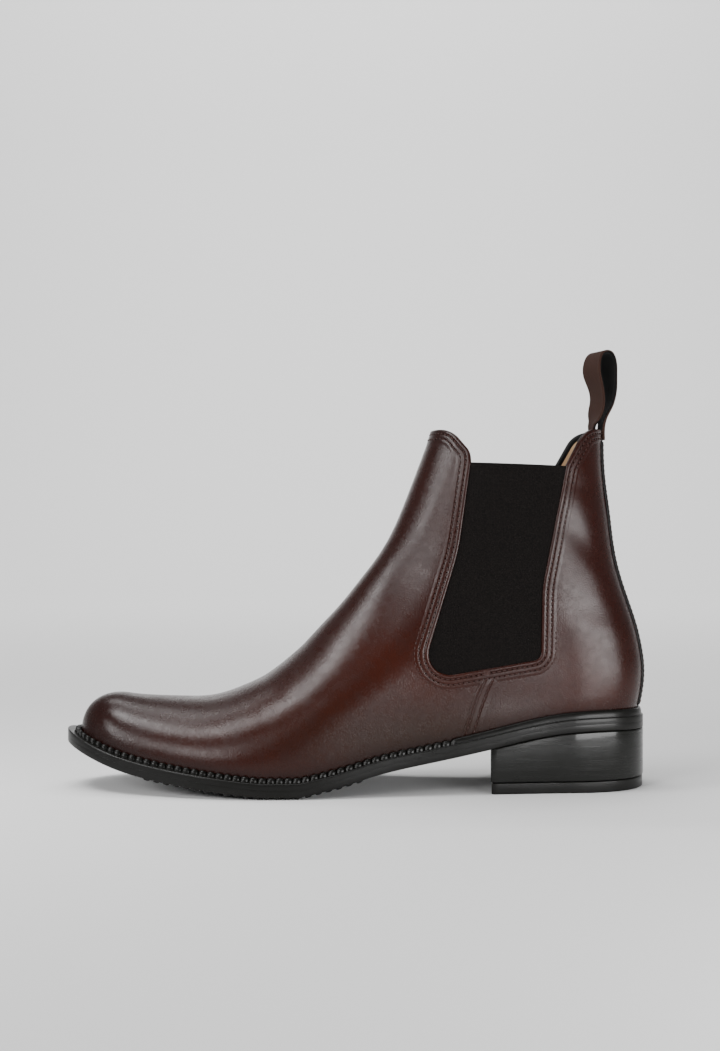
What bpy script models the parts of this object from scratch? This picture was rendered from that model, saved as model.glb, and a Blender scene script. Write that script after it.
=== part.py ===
"""Left paddock boot: leather ankle boot with elastic side gores, a storm welt and a block heel.

Metres, +Z up. The boot stands on the floor, z = 0, with its toe along -X and its outer side
along -Y. The origin is on the floor, under the middle of the boot.

Every curved piece comes from one last. A point of the last is named by its station, which is
the distance from the rear of the sole towards the toe, by its height above the floor, and by
how far it lies across, to the inner side of the last's middle plane.
"""

from functools import lru_cache

import bmesh
import bpy
import numpy as np

# Lengths along the boot, from the rear of the sole
SOLE_LENGTH = 0.2845
HEEL_LENGTH = 0.0775

# Widths across the boot
BALL_WIDTH = 0.094
HEEL_WIDTH = 0.064
SHAFT_WIDTH = 0.060

# Heights
HEEL_RISE = 0.0277
TOE_SPRING = 0.0212
TOE_HEIGHT = 0.0285
COLLAR_FRONT = 0.1745
COLLAR_REAR = 0.1765
GORE_TOP = 0.1582

# Walls and thicknesses
UPPER_WALL = 0.0020
OUTSOLE_THICKNESS = 0.0035
WELT_THICKNESS = 0.0030
TOP_LIFT_THICKNESS = 0.0056
INSOLE_THICKNESS = 0.0042
GORE_WALL = 0.0014
GORE_SINK = 0.0004
BACKSTAY_WALL = 0.0010

# Fit between neighbours, and between the insole and the curved wall round it
GAP = 0.0003
INSOLE_CLEARANCE = 0.0009

# Welt and its beads
HEEL_LEDGE = 0.0036
TOE_LEDGE = 0.0065
RIB_WIDTH = 0.0018
RIB_LEAN = 0.0007
RIB_HEIGHT = 0.0030
BEAD_PITCH = 0.0042
BEAD_NOTCH = 0.0009
BEADS_FROM = 0.0960
WELT_CHAMFER = 0.0007

# Cross ribs under the forefoot
TREAD_FROM = 0.1400
TREAD_TO = 0.2430
TREAD_PITCH = 0.0048
TREAD_FOOT = 0.0030
TREAD_CREST = 0.0018
TREAD_HEIGHT = 0.0010
TREAD_INSET = 0.0008
TREAD_ROOT = 0.0008

# Heel, whose breast runs back a little towards the inner side
HEEL_TAPER = 0.0004
BREAST_SLANT = 0.0050
LIFT_BEVEL = 0.0005

# Gore, from the rear top corner of its opening, and backstay
GORE_AT = 0.0401
GORE_WIDTH = 0.0456
GORE_HEIGHT = 0.0990
GORE_CORNER = 0.0090
BACKSTAY_WIDTH = 0.0180
BACKSTAY_TOP = 0.1700

# Pull loop
LOOP_HEIGHT = 0.0385
LOOP_WIDTH = 0.0160
LOOP_WALL = 0.0015
LOOP_TUCK = 0.0140
LOOP_TWIST = 0.42

# Rounding of the last
TOE_ROUND = 0.088
TOE_CAP_ROUND = 0.0230
INSTEP_ROUND = 0.046
FEATHER_TUCK = 0.0008
FEATHER_RISE = 0.0110
SHAFT_BLEND_LOW = 0.026
SHAFT_BLEND_HIGH = 0.086


def table(names, *rows):
    """A table with named columns, as a dictionary of arrays."""
    return dict(zip(names.split(), np.array(rows, float).T))


# Underside of the sole. at is a share of SOLE_LENGTH, heel of HEEL_RISE, toe of TOE_SPRING.
SOLE_LINE = table(
    "at     heel   toe",
    (0.000, 1.000, 0.00),
    (0.080, 1.025, 0.00),
    (0.170, 0.955, 0.00),
    (0.270, 0.742, 0.00),
    (0.390, 0.490, 0.00),
    (0.460, 0.340, 0.00),
    (0.520, 0.165, 0.00),
    (0.565, 0.055, 0.00),
    (0.605, 0.000, -0.02),
    (0.655, 0.000, 0.00),
    (0.735, 0.000, 0.115),
    (0.820, 0.000, 0.275),
    (0.905, 0.000, 0.515),
    (1.000, 0.000, 1.00),
)

# Half widths of the foot before its ends are rounded. at is a share of SOLE_LENGTH, and
# lateral and medial run from half of HEEL_WIDTH, at 0, to half of BALL_WIDTH, at 1.
# centre is how far the ridge and the tips lie to the inner side, a share of BALL_WIDTH.
# ledge is how far the welt stands out, from HEEL_LEDGE, at 0, to TOE_LEDGE, at 1, and rib
# is the height of the welt's rib, a share of RIB_HEIGHT.
FOOT = table(
    "at     lateral medial  centre  ledge  rib",
    (0.000, -0.300, 0.060, 0.036, 0.00, 1.20),
    (0.140, -0.300, -0.060, 0.030, 0.00, 1.10),
    (0.280, -0.040, -0.300, 0.014, 0.10, 0.90),
    (0.400, 0.200, -0.400, 0.000, 0.30, 0.80),
    (0.500, 0.520, -0.120, 0.010, 0.55, 0.80),
    (0.600, 0.840, 0.380, 0.030, 0.65, 0.80),
    (0.690, 0.860, 0.660, 0.042, 0.65, 0.80),
    (0.790, 0.660, 0.680, 0.040, 0.70, 0.80),
    (0.900, 0.420, 0.500, 0.020, 0.85, 0.80),
    (1.000, 0.300, 0.360, 0.005, 1.00, 0.80),
)

# Top line of the foot and front of the shaft. at is a share of SOLE_LENGTH. The height above
# the feather is toe times TOE_HEIGHT plus leg times the rest of the height up to the collar.
RIDGE = table(
    "at     toe    leg",
    (0.336, 1.250, 1.205),
    (0.367, 1.250, 1.000),
    (0.401, 1.250, 0.793),
    (0.435, 1.250, 0.609),
    (0.488, 1.250, 0.447),
    (0.523, 1.250, 0.364),
    (0.561, 1.250, 0.285),
    (0.631, 1.250, 0.137),
    (0.701, 1.215, 0.039),
    (0.750, 1.150, 0.004),
    (0.806, 1.068, 0.000),
    (0.904, 0.950, 0.000),
    (0.985, 0.890, 0.000),
)
COLLAR_ROW = 1
VAMP_ROW = 5

# Back of the boot. up is the share of the height from the seat to the rear of the collar,
# lean is a share of SOLE_LENGTH, round is the depth of the rounded back, a share of
# HEEL_WIDTH, and wide is the half width of the shaft, a share of SHAFT_WIDTH.
BACK = table(
    "up     lean    round  wide",
    (0.000, 0.0100, 0.56, 0.520),
    (0.080, 0.0020, 0.56, 0.520),
    (0.160, -0.0010, 0.57, 0.512),
    (0.240, 0.0040, 0.58, 0.500),
    (0.320, 0.0137, 0.59, 0.492),
    (0.420, 0.0306, 0.60, 0.485),
    (0.550, 0.0488, 0.63, 0.480),
    (0.700, 0.0590, 0.66, 0.490),
    (0.850, 0.0682, 0.68, 0.505),
    (1.000, 0.0698, 0.68, 0.515),
    (1.100, 0.0700, 0.68, 0.520),
)

# Corners of the gore's opening. along is a share of GORE_WIDTH forward from GORE_AT, down is
# a share of GORE_HEIGHT below GORE_TOP, and round is a radius, a share of GORE_CORNER.
GORE = table(
    "along  down   round",
    (1.026, -0.006, 0.0),
    (1.156, 0.426, 11.0),
    (1.572, 1.052, 1.15),
    (0.275, 0.955, 0.50),
    (0.262, 0.600, 7.0),
    (0.000, 0.012, 0.0),
)

# Corners of the collar line in front of the gore and behind it. along is a share of
# GORE_WIDTH forward from GORE_AT, and up runs from GORE_TOP, at 0, to the front or the rear
# of the collar, at 1. round is a radius, a share of GORE_CORNER.
COLLAR_FRONT_LOBE = table(
    "along   up     round",
    (1.800, 1.000, 0.0),
    (1.235, 1.020, 1.2),
    (1.035, 0.340, 0.9),
)
COLLAR_REAR_LOBE = table(
    "along   up     round",
    (-0.215, 0.880, 1.3),
    (-1.000, 1.080, 0.0),
)

# Middle line of the strap above the collar, from inside the boot over the top to its rear.
# fore is a share of LOOP_WIDTH towards the toe, up is a share of LOOP_HEIGHT and turn is a
# share of LOOP_TWIST.
STRAP = table(
    "fore    up     turn",
    (0.150, 0.190, 0.75),
    (0.090, 0.370, 0.75),
    (0.150, 0.540, 0.82),
    (0.260, 0.700, 1.00),
    (0.250, 0.860, 0.95),
    (0.100, 0.970, 0.80),
    (-0.110, 0.970, 0.75),
    (-0.230, 0.870, 0.85),
    (-0.260, 0.680, 0.85),
    (-0.270, 0.470, 0.70),
    (-0.220, 0.300, 0.45),
)

# How finely the solids are cut
RINGS = 20
SIDE_COLUMNS = 27
GORE_ROWS = 14
GORE_COLUMNS = 9
BACKSTAY_ROWS = 18
BACKSTAY_COLUMNS = 5
STRAP_ROWS = 40
STRAP_COLUMNS = 5
OUTLINE_STEPS = 64
HEEL_STEPS = 15
EDGE_STEP = 0.0065
ARC_STEPS = 5
RIDGE_STEPS = 280
FINE = 600

# Sharpness of the rounding, where 2 is an ellipse, and crowding of the rings at the feather
SHARPNESS = 2.15
RING_CROWDING = 1.30
REACH_POWER = 4.0
TINY = 1e-9

LATERAL = -1.0
MEDIAL = 1.0
STITCHED = OUTSOLE_THICKNESS + WELT_THICKNESS
BLANK_MARGIN = 0.004
CUT_REACH = 0.100

COLOURS = {
    "leather": ((0.075, 0.022, 0.014), 0.34),
    "dark_leather": ((0.016, 0.010, 0.009), 0.38),
    "elastic": ((0.012, 0.010, 0.010), 0.92),
    "webbing": ((0.075, 0.042, 0.030), 0.90),
    "rubber": ((0.018, 0.018, 0.017), 0.45),
    "heel_stack": ((0.016, 0.016, 0.014), 0.30),
    "board": ((0.50, 0.34, 0.22), 0.80),
}


# Curves and rounding


def spline(knots, values, at):
    """Natural cubic spline through the knots, carried on straight past both ends."""
    count = len(knots)
    step = np.diff(knots)
    slope = np.diff(values) / step
    system = np.eye(count)
    target = np.zeros(count)
    for row in range(1, count - 1):
        system[row, row - 1 : row + 2] = step[row - 1], 2 * (step[row - 1] + step[row]), step[row]
        target[row] = 6 * (slope[row] - slope[row - 1])
    bend = np.linalg.solve(system, target)
    at = np.asarray(at, float)
    inside = np.clip(at, knots[0], knots[-1])
    low = np.clip(np.searchsorted(knots, inside, side="right") - 1, 0, count - 2)
    width = step[low]
    left = (knots[low + 1] - inside) / width
    right = 1 - left
    cubic = ((left**3 - left) * bend[low] + (right**3 - right) * bend[low + 1]) * width**2 / 6
    value = left * values[low] + right * values[low + 1] + cubic
    start_slope = slope[0] - step[0] * bend[1] / 6
    end_slope = slope[-1] + step[-1] * bend[-2] / 6
    value = value + np.where(at < knots[0], (at - knots[0]) * start_slope, 0)
    return value + np.where(at > knots[-1], (at - knots[-1]) * end_slope, 0)


def mix(low, high, share):
    return low + (high - low) * share


def ease(value):
    """Smooth step from 0 to 1."""
    value = np.clip(value, 0, 1)
    return value * value * (3 - 2 * value)


def rounded(depth, sharpness=SHARPNESS):
    """Quarter of a superellipse: 0 at the outline, 1 from a depth of 1 inwards."""
    inside = np.clip(depth, 0, 1)
    return (1 - (1 - inside) ** sharpness) ** (1 / sharpness)


def unrounded(share, sharpness=SHARPNESS):
    """The depth at which rounded() reaches this share."""
    return 1 - (1 - np.clip(share, 0, 1) ** sharpness) ** (1 / sharpness)


def cosine_steps(count):
    """Steps from 0 to 1, close together at both ends."""
    return (1 - np.cos(np.linspace(0, np.pi, count))) / 2


def offset_loop(loop, distance):
    """A closed loop of plan points moved outwards by a distance, with mitred corners."""
    forward = np.roll(loop, -1, axis=0) - loop
    forward = forward / np.linalg.norm(forward, axis=1, keepdims=True)
    outward = np.stack([forward[:, 1], -forward[:, 0]], axis=-1)
    before = np.roll(outward, 1, axis=0)
    mitre = (outward + before) / (1 + (outward * before).sum(axis=1, keepdims=True))
    turned = np.sum(loop[:, 0] * np.roll(loop[:, 1], -1) - loop[:, 1] * np.roll(loop[:, 0], -1))
    return loop + np.sign(turned) * mitre * np.reshape(distance, (-1, 1))


def fillet_loop(corners, radii):
    """A closed loop through corners, each rounded to its radius by an arc."""
    points = []
    for here, corner in enumerate(corners):
        if radii[here] == 0:
            points.append(corner)
            continue
        before = corners[here - 1] - corner
        after = corners[(here + 1) % len(corners)] - corner
        before = before / np.linalg.norm(before)
        after = after / np.linalg.norm(after)
        half = np.arccos(np.clip(before @ after, -1, 1)) / 2
        middle = (before + after) / np.linalg.norm(before + after)
        centre = corner + middle * radii[here] / np.sin(half)
        start = corner + before * radii[here] / np.tan(half) - centre
        end = corner + after * radii[here] / np.tan(half) - centre
        sweep = np.arctan2(start[0] * end[1] - start[1] * end[0], start @ end)
        turn = np.linspace(0, sweep, ARC_STEPS + 1)[:, None]
        points.extend(centre + start * np.cos(turn) + np.array([-start[1], start[0]]) * np.sin(turn))
    return np.array(points)


# The last


def foot(column, station):
    return spline(FOOT["at"], FOOT[column], station / SOLE_LENGTH)


def ledge(station):
    return mix(HEEL_LEDGE, TOE_LEDGE, foot("ledge", station))


def underside(station):
    """Height of the sole's underside above its tread's crests: flat where the ball stands."""
    at = station / SOLE_LENGTH
    heel = spline(SOLE_LINE["at"], SOLE_LINE["heel"], at) * HEEL_RISE
    toe = spline(SOLE_LINE["at"], SOLE_LINE["toe"], at) * TOE_SPRING
    return TREAD_HEIGHT + np.maximum(heel + toe, 0)


def feather(station):
    """Height of the line where the upper meets the welt."""
    return underside(station) + STITCHED


SEAT = float(feather(0.0))
TOE_TIP = SOLE_LENGTH - TOE_LEDGE


def back_column(column, height):
    return spline(BACK["up"], BACK[column], (height - SEAT) / (COLLAR_REAR - SEAT))


def back(height):
    """Station of the back of the upper at this height."""
    return back_column("lean", height) * SOLE_LENGTH


def ridge_height(station):
    """How high the last stands above the feather line at this station."""
    at = station / SOLE_LENGTH
    base = RIDGE["toe"][COLLAR_ROW] * TOE_HEIGHT
    leg_height = COLLAR_FRONT - feather(RIDGE["at"][COLLAR_ROW] * SOLE_LENGTH) - base
    toe = spline(RIDGE["at"], RIDGE["toe"], at) * TOE_HEIGHT
    leg = spline(RIDGE["at"], RIDGE["leg"], at) * leg_height
    return (toe + leg) * rounded((TOE_TIP - station) / TOE_CAP_ROUND, 2.0)


@lru_cache(maxsize=None)
def ridge_line():
    """Station and height along the ridge, from the toe's tip up to above the collar."""
    low = RIDGE["at"][0] * SOLE_LENGTH
    station = TOE_TIP - (TOE_TIP - low) * np.linspace(0, 1, RIDGE_STEPS) ** 2
    return np.stack([station, feather(station) + ridge_height(station)], axis=-1)


def ridge_distance(station, height):
    """Distance from points of the side view to the ridge, taken as a chain of short lines."""
    start = ridge_line()[:-1]
    step = np.diff(ridge_line(), axis=0)
    offset = np.stack([station, height], axis=-1)[..., None, :] - start
    along = np.clip((offset * step).sum(axis=-1) / (step**2).sum(axis=-1), 0, 1)
    return np.linalg.norm(offset - along[..., None] * step, axis=-1).min(axis=-1)


def across(side, station, height):
    """How far the last's surface lies across, on one side, at points of the side view."""
    column = "lateral" if side < 0 else "medial"
    above = np.maximum(height - feather(station), 0)
    foot_wide = mix(HEEL_WIDTH, BALL_WIDTH, foot(column, station)) / 2
    foot_wide = foot_wide - FEATHER_TUCK * np.clip(1 - above / FEATHER_RISE, 0, 1) ** 2
    shaft_wide = back_column("wide", height) * SHAFT_WIDTH
    share = ease((above - SHAFT_BLEND_LOW) / (SHAFT_BLEND_HIGH - SHAFT_BLEND_LOW))
    wide = mix(foot_wide, shaft_wide, share)
    depth = ridge_distance(station, height)
    reach = (depth + above + TINY) ** -REACH_POWER + INSTEP_ROUND**-REACH_POWER
    cover = rounded(depth * reach ** (1 / REACH_POWER))
    cover = cover * mix(rounded((TOE_TIP - station) / TOE_ROUND), 1, share)
    spread = back_column("round", height) * HEEL_WIDTH
    cover = cover * rounded((station - back(height)) / spread)
    return foot("centre", station) * BALL_WIDTH * (1 - cover) + side * wide * cover


# Plan outlines of the welt, the sole and the heel


def feather_loop(count):
    """The upper's outline on the welt: outer side from the rear to the tip, and back inside."""
    rear = back(SEAT)
    station = rear + (TOE_TIP - rear) * cosine_steps(count)
    outer = across(LATERAL, station, feather(station))
    inner = across(MEDIAL, station, feather(station))
    outer[0] = inner[0] = foot("centre", rear) * BALL_WIDTH
    outer[-1] = inner[-1] = foot("centre", TOE_TIP) * BALL_WIDTH
    lateral = np.stack([station, outer], axis=-1)
    medial = np.stack([station, inner], axis=-1)
    return np.concatenate([lateral, medial[-2:0:-1]])


@lru_cache(maxsize=None)
def sole_loop(count, inset=0.0):
    """The sole's outline, a ledge wider than the feather line, less an inset."""
    loop = feather_loop(count)
    return offset_loop(loop, ledge(loop[:, 0]) - inset)


# The part's frame
REAR = min(0.0, float(back(np.linspace(SEAT, COLLAR_REAR, FINE)).min()) - GAP - BACKSTAY_WALL)
MIDDLE = (SOLE_LENGTH + REAR) / 2
MIDLINE = (sole_loop(FINE)[:, 1].max() + sole_loop(FINE)[:, 1].min()) / 2


def place(station, sideways, height):
    """Points of the boot in the part's own frame."""
    station, sideways, height = np.broadcast_arrays(station, sideways, height)
    return np.stack([MIDDLE - station, sideways - MIDLINE, height], axis=-1)


# Meshes


def paint(piece, colour):
    material = bpy.data.materials.new(f"{colour}.{piece.name}")
    material.use_nodes = True
    shader = material.node_tree.nodes["Principled BSDF"]
    tint, roughness = COLOURS[colour]
    shader.inputs["Base Color"].default_value = (*tint, 1.0)
    shader.inputs["Roughness"].default_value = roughness
    shader.inputs["Metallic"].default_value = 0.0
    piece.data.materials.append(material)


def solid(name, points, faces, colour=None):
    """An object made of points and faces, triangulated, with its faces pointing out."""
    mesh = bpy.data.meshes.new(name)
    mesh.from_pydata(np.asarray(points, float).tolist(), [], [list(map(int, face)) for face in faces])
    build = bmesh.new()
    build.from_mesh(mesh)
    bmesh.ops.triangulate(build, faces=build.faces)
    bmesh.ops.recalc_face_normals(build, faces=build.faces)
    if build.calc_volume(signed=True) < 0:
        bmesh.ops.reverse_faces(build, faces=build.faces)
    build.to_mesh(mesh)
    build.free()
    piece = bpy.data.objects.new(name, mesh)
    bpy.context.scene.collection.objects.link(piece)
    if colour:
        paint(piece, colour)
    return piece


def hide(piece):
    """Mark a cutter, which is no piece of the boot."""
    piece.hide_render = True
    piece.display_type = "WIRE"
    return piece


def strip(first, second, closed=True):
    """Quads between two rows of point numbers."""
    count = len(first) if closed else len(first) - 1
    steps = [(here, (here + 1) % len(first)) for here in range(count)]
    return [(first[a], first[b], second[b], second[a]) for a, b in steps]


def ring(name, rows, colour):
    """A solid between closed rows of points, the last joined to the first: a shell or a ring."""
    rows = np.asarray(rows)
    numbers = np.arange(rows.shape[0] * rows.shape[1]).reshape(rows.shape[:2])
    faces = []
    for here in range(len(rows)):
        faces += strip(numbers[here], numbers[(here + 1) % len(rows)])
    return solid(name, rows.reshape(-1, 3), faces, colour)


def plate(name, lower, upper, colour):
    """A solid between two loops, spanned from side to side: the first point is the rear's."""
    count = len(lower)
    faces = strip(np.arange(count), np.arange(count) + count)
    for shift in (0, count):
        faces.append((shift, shift + 1, shift + count - 1))
        left = 1
        right = count - 1
        while right - left > 2:
            faces.append((left + shift, left + 1 + shift, right - 1 + shift, right + shift))
            left += 1
            right -= 1
        if right - left == 2:
            faces.append((left + shift, left + 1 + shift, right + shift))
    return solid(name, np.concatenate([lower, upper]), faces, colour)


def prism(name, loop, near, far):
    """A cutter: a loop of the side view carried across the boot."""
    low = place(loop[:, 0], near, loop[:, 1])
    high = place(loop[:, 0], far, loop[:, 1])
    numbers = np.arange(len(loop))
    faces = strip(numbers, numbers + len(loop))
    faces += [list(numbers), list(numbers + len(loop))]
    return hide(solid(name, np.concatenate([low, high]), faces))


def cut(piece, cutter, operation):
    boolean = piece.modifiers.new(cutter.name, "BOOLEAN")
    boolean.operation = operation
    boolean.solver = "EXACT"
    boolean.object = cutter


def slopes(grid, axis, closed):
    """Differences along one axis of a grid of points."""
    if closed:
        return np.roll(grid, -1, axis=axis) - np.roll(grid, 1, axis=axis)
    return np.gradient(grid, axis=axis)


def normals(grid, closed=False):
    """Unit normals of a grid of points whose rows may be closed rings: outwards on rings."""
    normal = np.cross(slopes(grid, 0, False), slopes(grid, 1, closed))
    return normal / np.linalg.norm(normal, axis=-1, keepdims=True)


def slab(name, outer, inner, colour):
    """A solid between two open grids of points of the same shape."""
    rows, columns = outer.shape[:2]
    number = np.arange(rows * columns).reshape(rows, columns)
    shift = rows * columns
    faces = []
    for row in range(rows - 1):
        faces += strip(number[row], number[row + 1], closed=False)
        faces += strip(number[row + 1] + shift, number[row] + shift, closed=False)
    rim = np.concatenate([number[0], number[1:, -1], number[-1, -2::-1], number[-2:0:-1, 0]])
    faces += strip(rim, rim + shift)
    points = np.concatenate([outer.reshape(-1, 3), inner.reshape(-1, 3)])
    return solid(name, points, faces, colour)


# Openings of the upper


def gore_corners():
    station = GORE_AT + GORE["along"] * GORE_WIDTH
    height = GORE_TOP - GORE["down"] * GORE_HEIGHT
    return np.stack([station, height], axis=-1), GORE["round"] * GORE_CORNER


def lobe_corners(lobe, collar):
    station = GORE_AT + lobe["along"] * GORE_WIDTH
    height = mix(GORE_TOP, collar, lobe["up"])
    return np.stack([station, height], axis=-1), lobe["round"] * GORE_CORNER


def opening_loop():
    """What is cut from the blank of the upper: the space above the collar, and the gores."""
    front, front_round = lobe_corners(COLLAR_FRONT_LOBE, COLLAR_FRONT)
    gore, gore_round = gore_corners()
    rear, rear_round = lobe_corners(COLLAR_REAR_LOBE, COLLAR_REAR)
    top = COLLAR_REAR + LOOP_HEIGHT
    ends = np.array([[rear[-1, 0], top], [front[0, 0], top]])
    corners = np.concatenate([front, gore, rear, ends])
    return fillet_loop(corners, np.concatenate([front_round, gore_round, rear_round, [0, 0]]))


# Pieces


def side_grid(share_along, share_up):
    """Side-view points between back, feather, ridge and the blank's top, as a Coons patch."""
    top = max(COLLAR_REAR, COLLAR_FRONT) + BLANK_MARGIN
    ridge = ridge_line()
    length = np.concatenate([[0], np.cumsum(np.linalg.norm(np.diff(ridge, axis=0), axis=1))])
    rising = ridge[:, 0] < RIDGE["at"][VAMP_ROW] * SOLE_LENGTH
    reach = np.interp(top, ridge[rising, 1], length[rising]) * share_up
    rear = back(SEAT)

    station = rear + (TOE_TIP - rear) * share_along
    bottom = np.stack([station, feather(station) + GAP], axis=-1)
    height = mix(bottom[0, 1], top, share_up)
    left = np.stack([back(height), height], axis=-1)
    right = np.stack([np.interp(reach, length, column) for column in ridge.T], axis=-1)
    station = mix(left[-1, 0], right[-1, 0], share_along)
    upper = np.stack([station, np.full_like(station, top)], axis=-1)
    left[0] = bottom[0]
    right[0] = bottom[-1]

    along = share_along[None, :, None]
    up = share_up[:, None, None]
    ruled = mix(bottom[None], upper[None], up) + mix(left[:, None], right[:, None], along)
    return ruled - mix(mix(bottom[0], bottom[-1], along), mix(upper[0], upper[-1], along), up)


def upper_rings(rings, columns):
    """Rings of points round the upper, from the feather line to above the collar."""
    share_up = np.linspace(0, 1, rings) ** RING_CROWDING
    grid = side_grid(cosine_steps(columns), share_up)
    station, height = grid[..., 0], grid[..., 1]
    outer = across(LATERAL, station, height)
    inner = across(MEDIAL, station, height)
    for edge in (0, -1):
        outer[:, edge] = inner[:, edge] = foot("centre", station[:, edge]) * BALL_WIDTH
    lateral = place(station, outer, height)
    medial = place(station, inner, height)
    return np.concatenate([lateral, medial[:, -2:0:-1]], axis=1)


def make_upper():
    outside = upper_rings(RINGS, SIDE_COLUMNS)
    inside = outside - normals(outside, closed=True) * UPPER_WALL
    upper = ring("upper", np.concatenate([outside, inside[::-1]]), "leather")
    cut(upper, prism("opening_cut", opening_loop(), -CUT_REACH, CUT_REACH), "DIFFERENCE")


def make_gore(name, side):
    """Elastic panel: a thinner shell of the same last, trimmed to the opening less the gap."""
    loop = offset_loop(fillet_loop(*gore_corners()), -GAP)
    margin = 4 * GAP
    station = np.linspace(loop[:, 0].min() - margin, loop[:, 0].max() + margin, GORE_COLUMNS)
    height = np.linspace(loop[:, 1].min() - margin, loop[:, 1].max() + margin, GORE_ROWS)
    station, height = np.meshgrid(station, height)
    grid = place(station, across(side, station, height), height)
    inward = normals(grid)
    inward = inward * -side * np.sign(inward[..., 1:2])
    outer = grid + inward * GORE_SINK
    gore = slab(name, outer, outer + inward * GORE_WALL, "elastic")
    cut(gore, prism(f"{name}_trim", loop, 0.0, side * CUT_REACH), "INTERSECT")


def make_backstay():
    """Strip over the back seam, on the upper's own surface."""
    low = SEAT + RIB_HEIGHT * FOOT["rib"][0] + 2 * GAP
    height = np.linspace(low, BACKSTAY_TOP, BACKSTAY_ROWS)[:, None]
    sideways = np.linspace(-0.5, 0.5, BACKSTAY_COLUMNS)[None] * BACKSTAY_WIDTH
    centre = foot("centre", back(height)) * BALL_WIDTH
    spread = back_column("round", height) * HEEL_WIDTH
    wide = np.abs(across(LATERAL, back(height) + spread, height) - centre)
    station = back(height) + spread * unrounded(np.abs(sideways) / wide)
    grid = place(station, centre + sideways, np.broadcast_to(height, station.shape))
    outward = normals(grid)
    outward = outward * np.sign(outward[..., :1])
    slab("backstay", grid + outward * (GAP + BACKSTAY_WALL), grid + outward * GAP, "dark_leather")


def strap_line():
    """Middle line of the strap in the side view, with its turn, as evenly spaced rows."""
    wall = LOOP_WALL / 2 + 2 * GAP
    low = COLLAR_REAR - LOOP_TUCK
    tucked = np.array([low, (low + COLLAR_REAR) / 2, COLLAR_REAR])
    inner = np.stack([back(tucked) + UPPER_WALL + wall, tucked, np.zeros(3)], axis=-1)
    lapped = np.array([COLLAR_REAR, BACKSTAY_TOP + 2 * GAP])
    outer = np.stack([back(lapped) - wall, lapped, np.zeros(2)], axis=-1)
    fore = back(COLLAR_REAR) + STRAP["fore"] * LOOP_WIDTH
    free = np.stack([fore, COLLAR_REAR + STRAP["up"] * LOOP_HEIGHT, STRAP["turn"]], axis=-1)
    rows = np.concatenate([inner, free, outer])
    chord = np.concatenate([[0], np.cumsum(np.linalg.norm(np.diff(rows[:, :2], axis=0), axis=1))])
    even = np.linspace(0, chord[-1], STRAP_ROWS)
    return np.stack([spline(chord, column, even) for column in rows.T], axis=-1)


def make_pull_loop():
    """Webbing strap: it follows the collar's curve at its ends and turns as it rises."""
    line = strap_line()
    sideways = np.linspace(-0.5, 0.5, STRAP_COLUMNS)[None] * LOOP_WIDTH
    turn = line[:, 2:] * LOOP_TWIST
    half_width = back_column("wide", COLLAR_REAR) * SHAFT_WIDTH
    curl = (1 - ease(line[:, 2:] * 2)) * back_column("round", COLLAR_REAR) * HEEL_WIDTH / half_width**2
    station = line[:, :1] + sideways * np.sin(turn) + curl * sideways**2 / 2
    centre = foot("centre", back(COLLAR_REAR)) * BALL_WIDTH
    height = np.broadcast_to(line[:, 1:2], station.shape)
    grid = place(station, centre + sideways * np.cos(turn), height)
    wall = normals(grid) * LOOP_WALL / 2
    slab("pull_loop", grid + wall, grid - wall, "webbing")


def make_insole():
    loop = offset_loop(feather_loop(OUTLINE_STEPS), -UPPER_WALL - INSOLE_CLEARANCE)
    low = underside(loop[:, 0]) + OUTSOLE_THICKNESS + GAP
    lower = place(loop[:, 0], loop[:, 1], low)
    upper = place(loop[:, 0], loop[:, 1], low + INSOLE_THICKNESS)
    plate("insole", lower, upper, "board")


def welt_stops(edge):
    """Lengths round the welt's edge for its sections, and 1 on a bead or 0 in a notch.

    Beads are stepped evenly round the edge in front of the heel.
    """
    closed = np.concatenate([edge, edge[:1]])
    length = np.concatenate([[0], np.cumsum(np.linalg.norm(np.diff(closed, axis=0), axis=1))])
    first = length[np.argmax(edge[:, 0] > BEADS_FROM)]
    last = length[len(edge) - np.argmax(edge[::-1, 0] > BEADS_FROM)]
    beads = int((last - first) / BEAD_PITCH)
    plain = int((length[-1] - last + first) / EDGE_STEP)
    beaded = mix(first, last, np.arange(2 * beads + 1) / (2 * beads))
    rest = mix(last, length[-1] + first, np.arange(1, plain) / plain)
    stops = np.concatenate([beaded, rest]) % length[-1]
    on_bead = np.concatenate([np.arange(2 * beads + 1) % 2, np.ones(plain - 1)])
    return stops, on_bead, length


def make_welt():
    """Storm welt: a ledge, and a rib that leans against the upper with beads pressed in it."""
    loop = feather_loop(FINE)
    stand = ledge(loop[:, 0])
    rib_back = np.minimum(GAP + RIB_LEAN + RIB_WIDTH, stand)
    stops, on_bead, length = welt_stops(offset_loop(loop, stand))

    def carried(line):
        """Values known at the loop's points, read at the stops."""
        return np.interp(stops, length, np.append(line, line[0]))

    def row(outward, rise, notch=0.0):
        """One line of the welt's section, carried round the boot and pressed in at notches."""
        plain = offset_loop(loop, outward)
        pressed = offset_loop(loop, outward - notch)
        station = mix(carried(pressed[:, 0]), carried(plain[:, 0]), on_bead)
        sideways = mix(carried(pressed[:, 1]), carried(plain[:, 1]), on_bead)
        base = underside(station) + OUTSOLE_THICKNESS + GAP
        return place(station, sideways, base + rise)

    top = WELT_THICKNESS - GAP
    rib = carried(foot("rib", loop[:, 0])) * RIB_HEIGHT
    crest = top + rib - BEAD_NOTCH * (1 - on_bead)
    rows = [
        row(-UPPER_WALL, 0.0),
        row(stand, 0.0),
        row(stand, top - WELT_CHAMFER),
        row(np.minimum(stand - WELT_CHAMFER, rib_back), top, BEAD_NOTCH),
        row(rib_back - GAP, crest - WELT_CHAMFER, BEAD_NOTCH),
        row(GAP + RIB_LEAN, crest),
        row(GAP, top),
        row(-UPPER_WALL, top),
    ]
    ring("welt", rows, "rubber")


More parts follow.
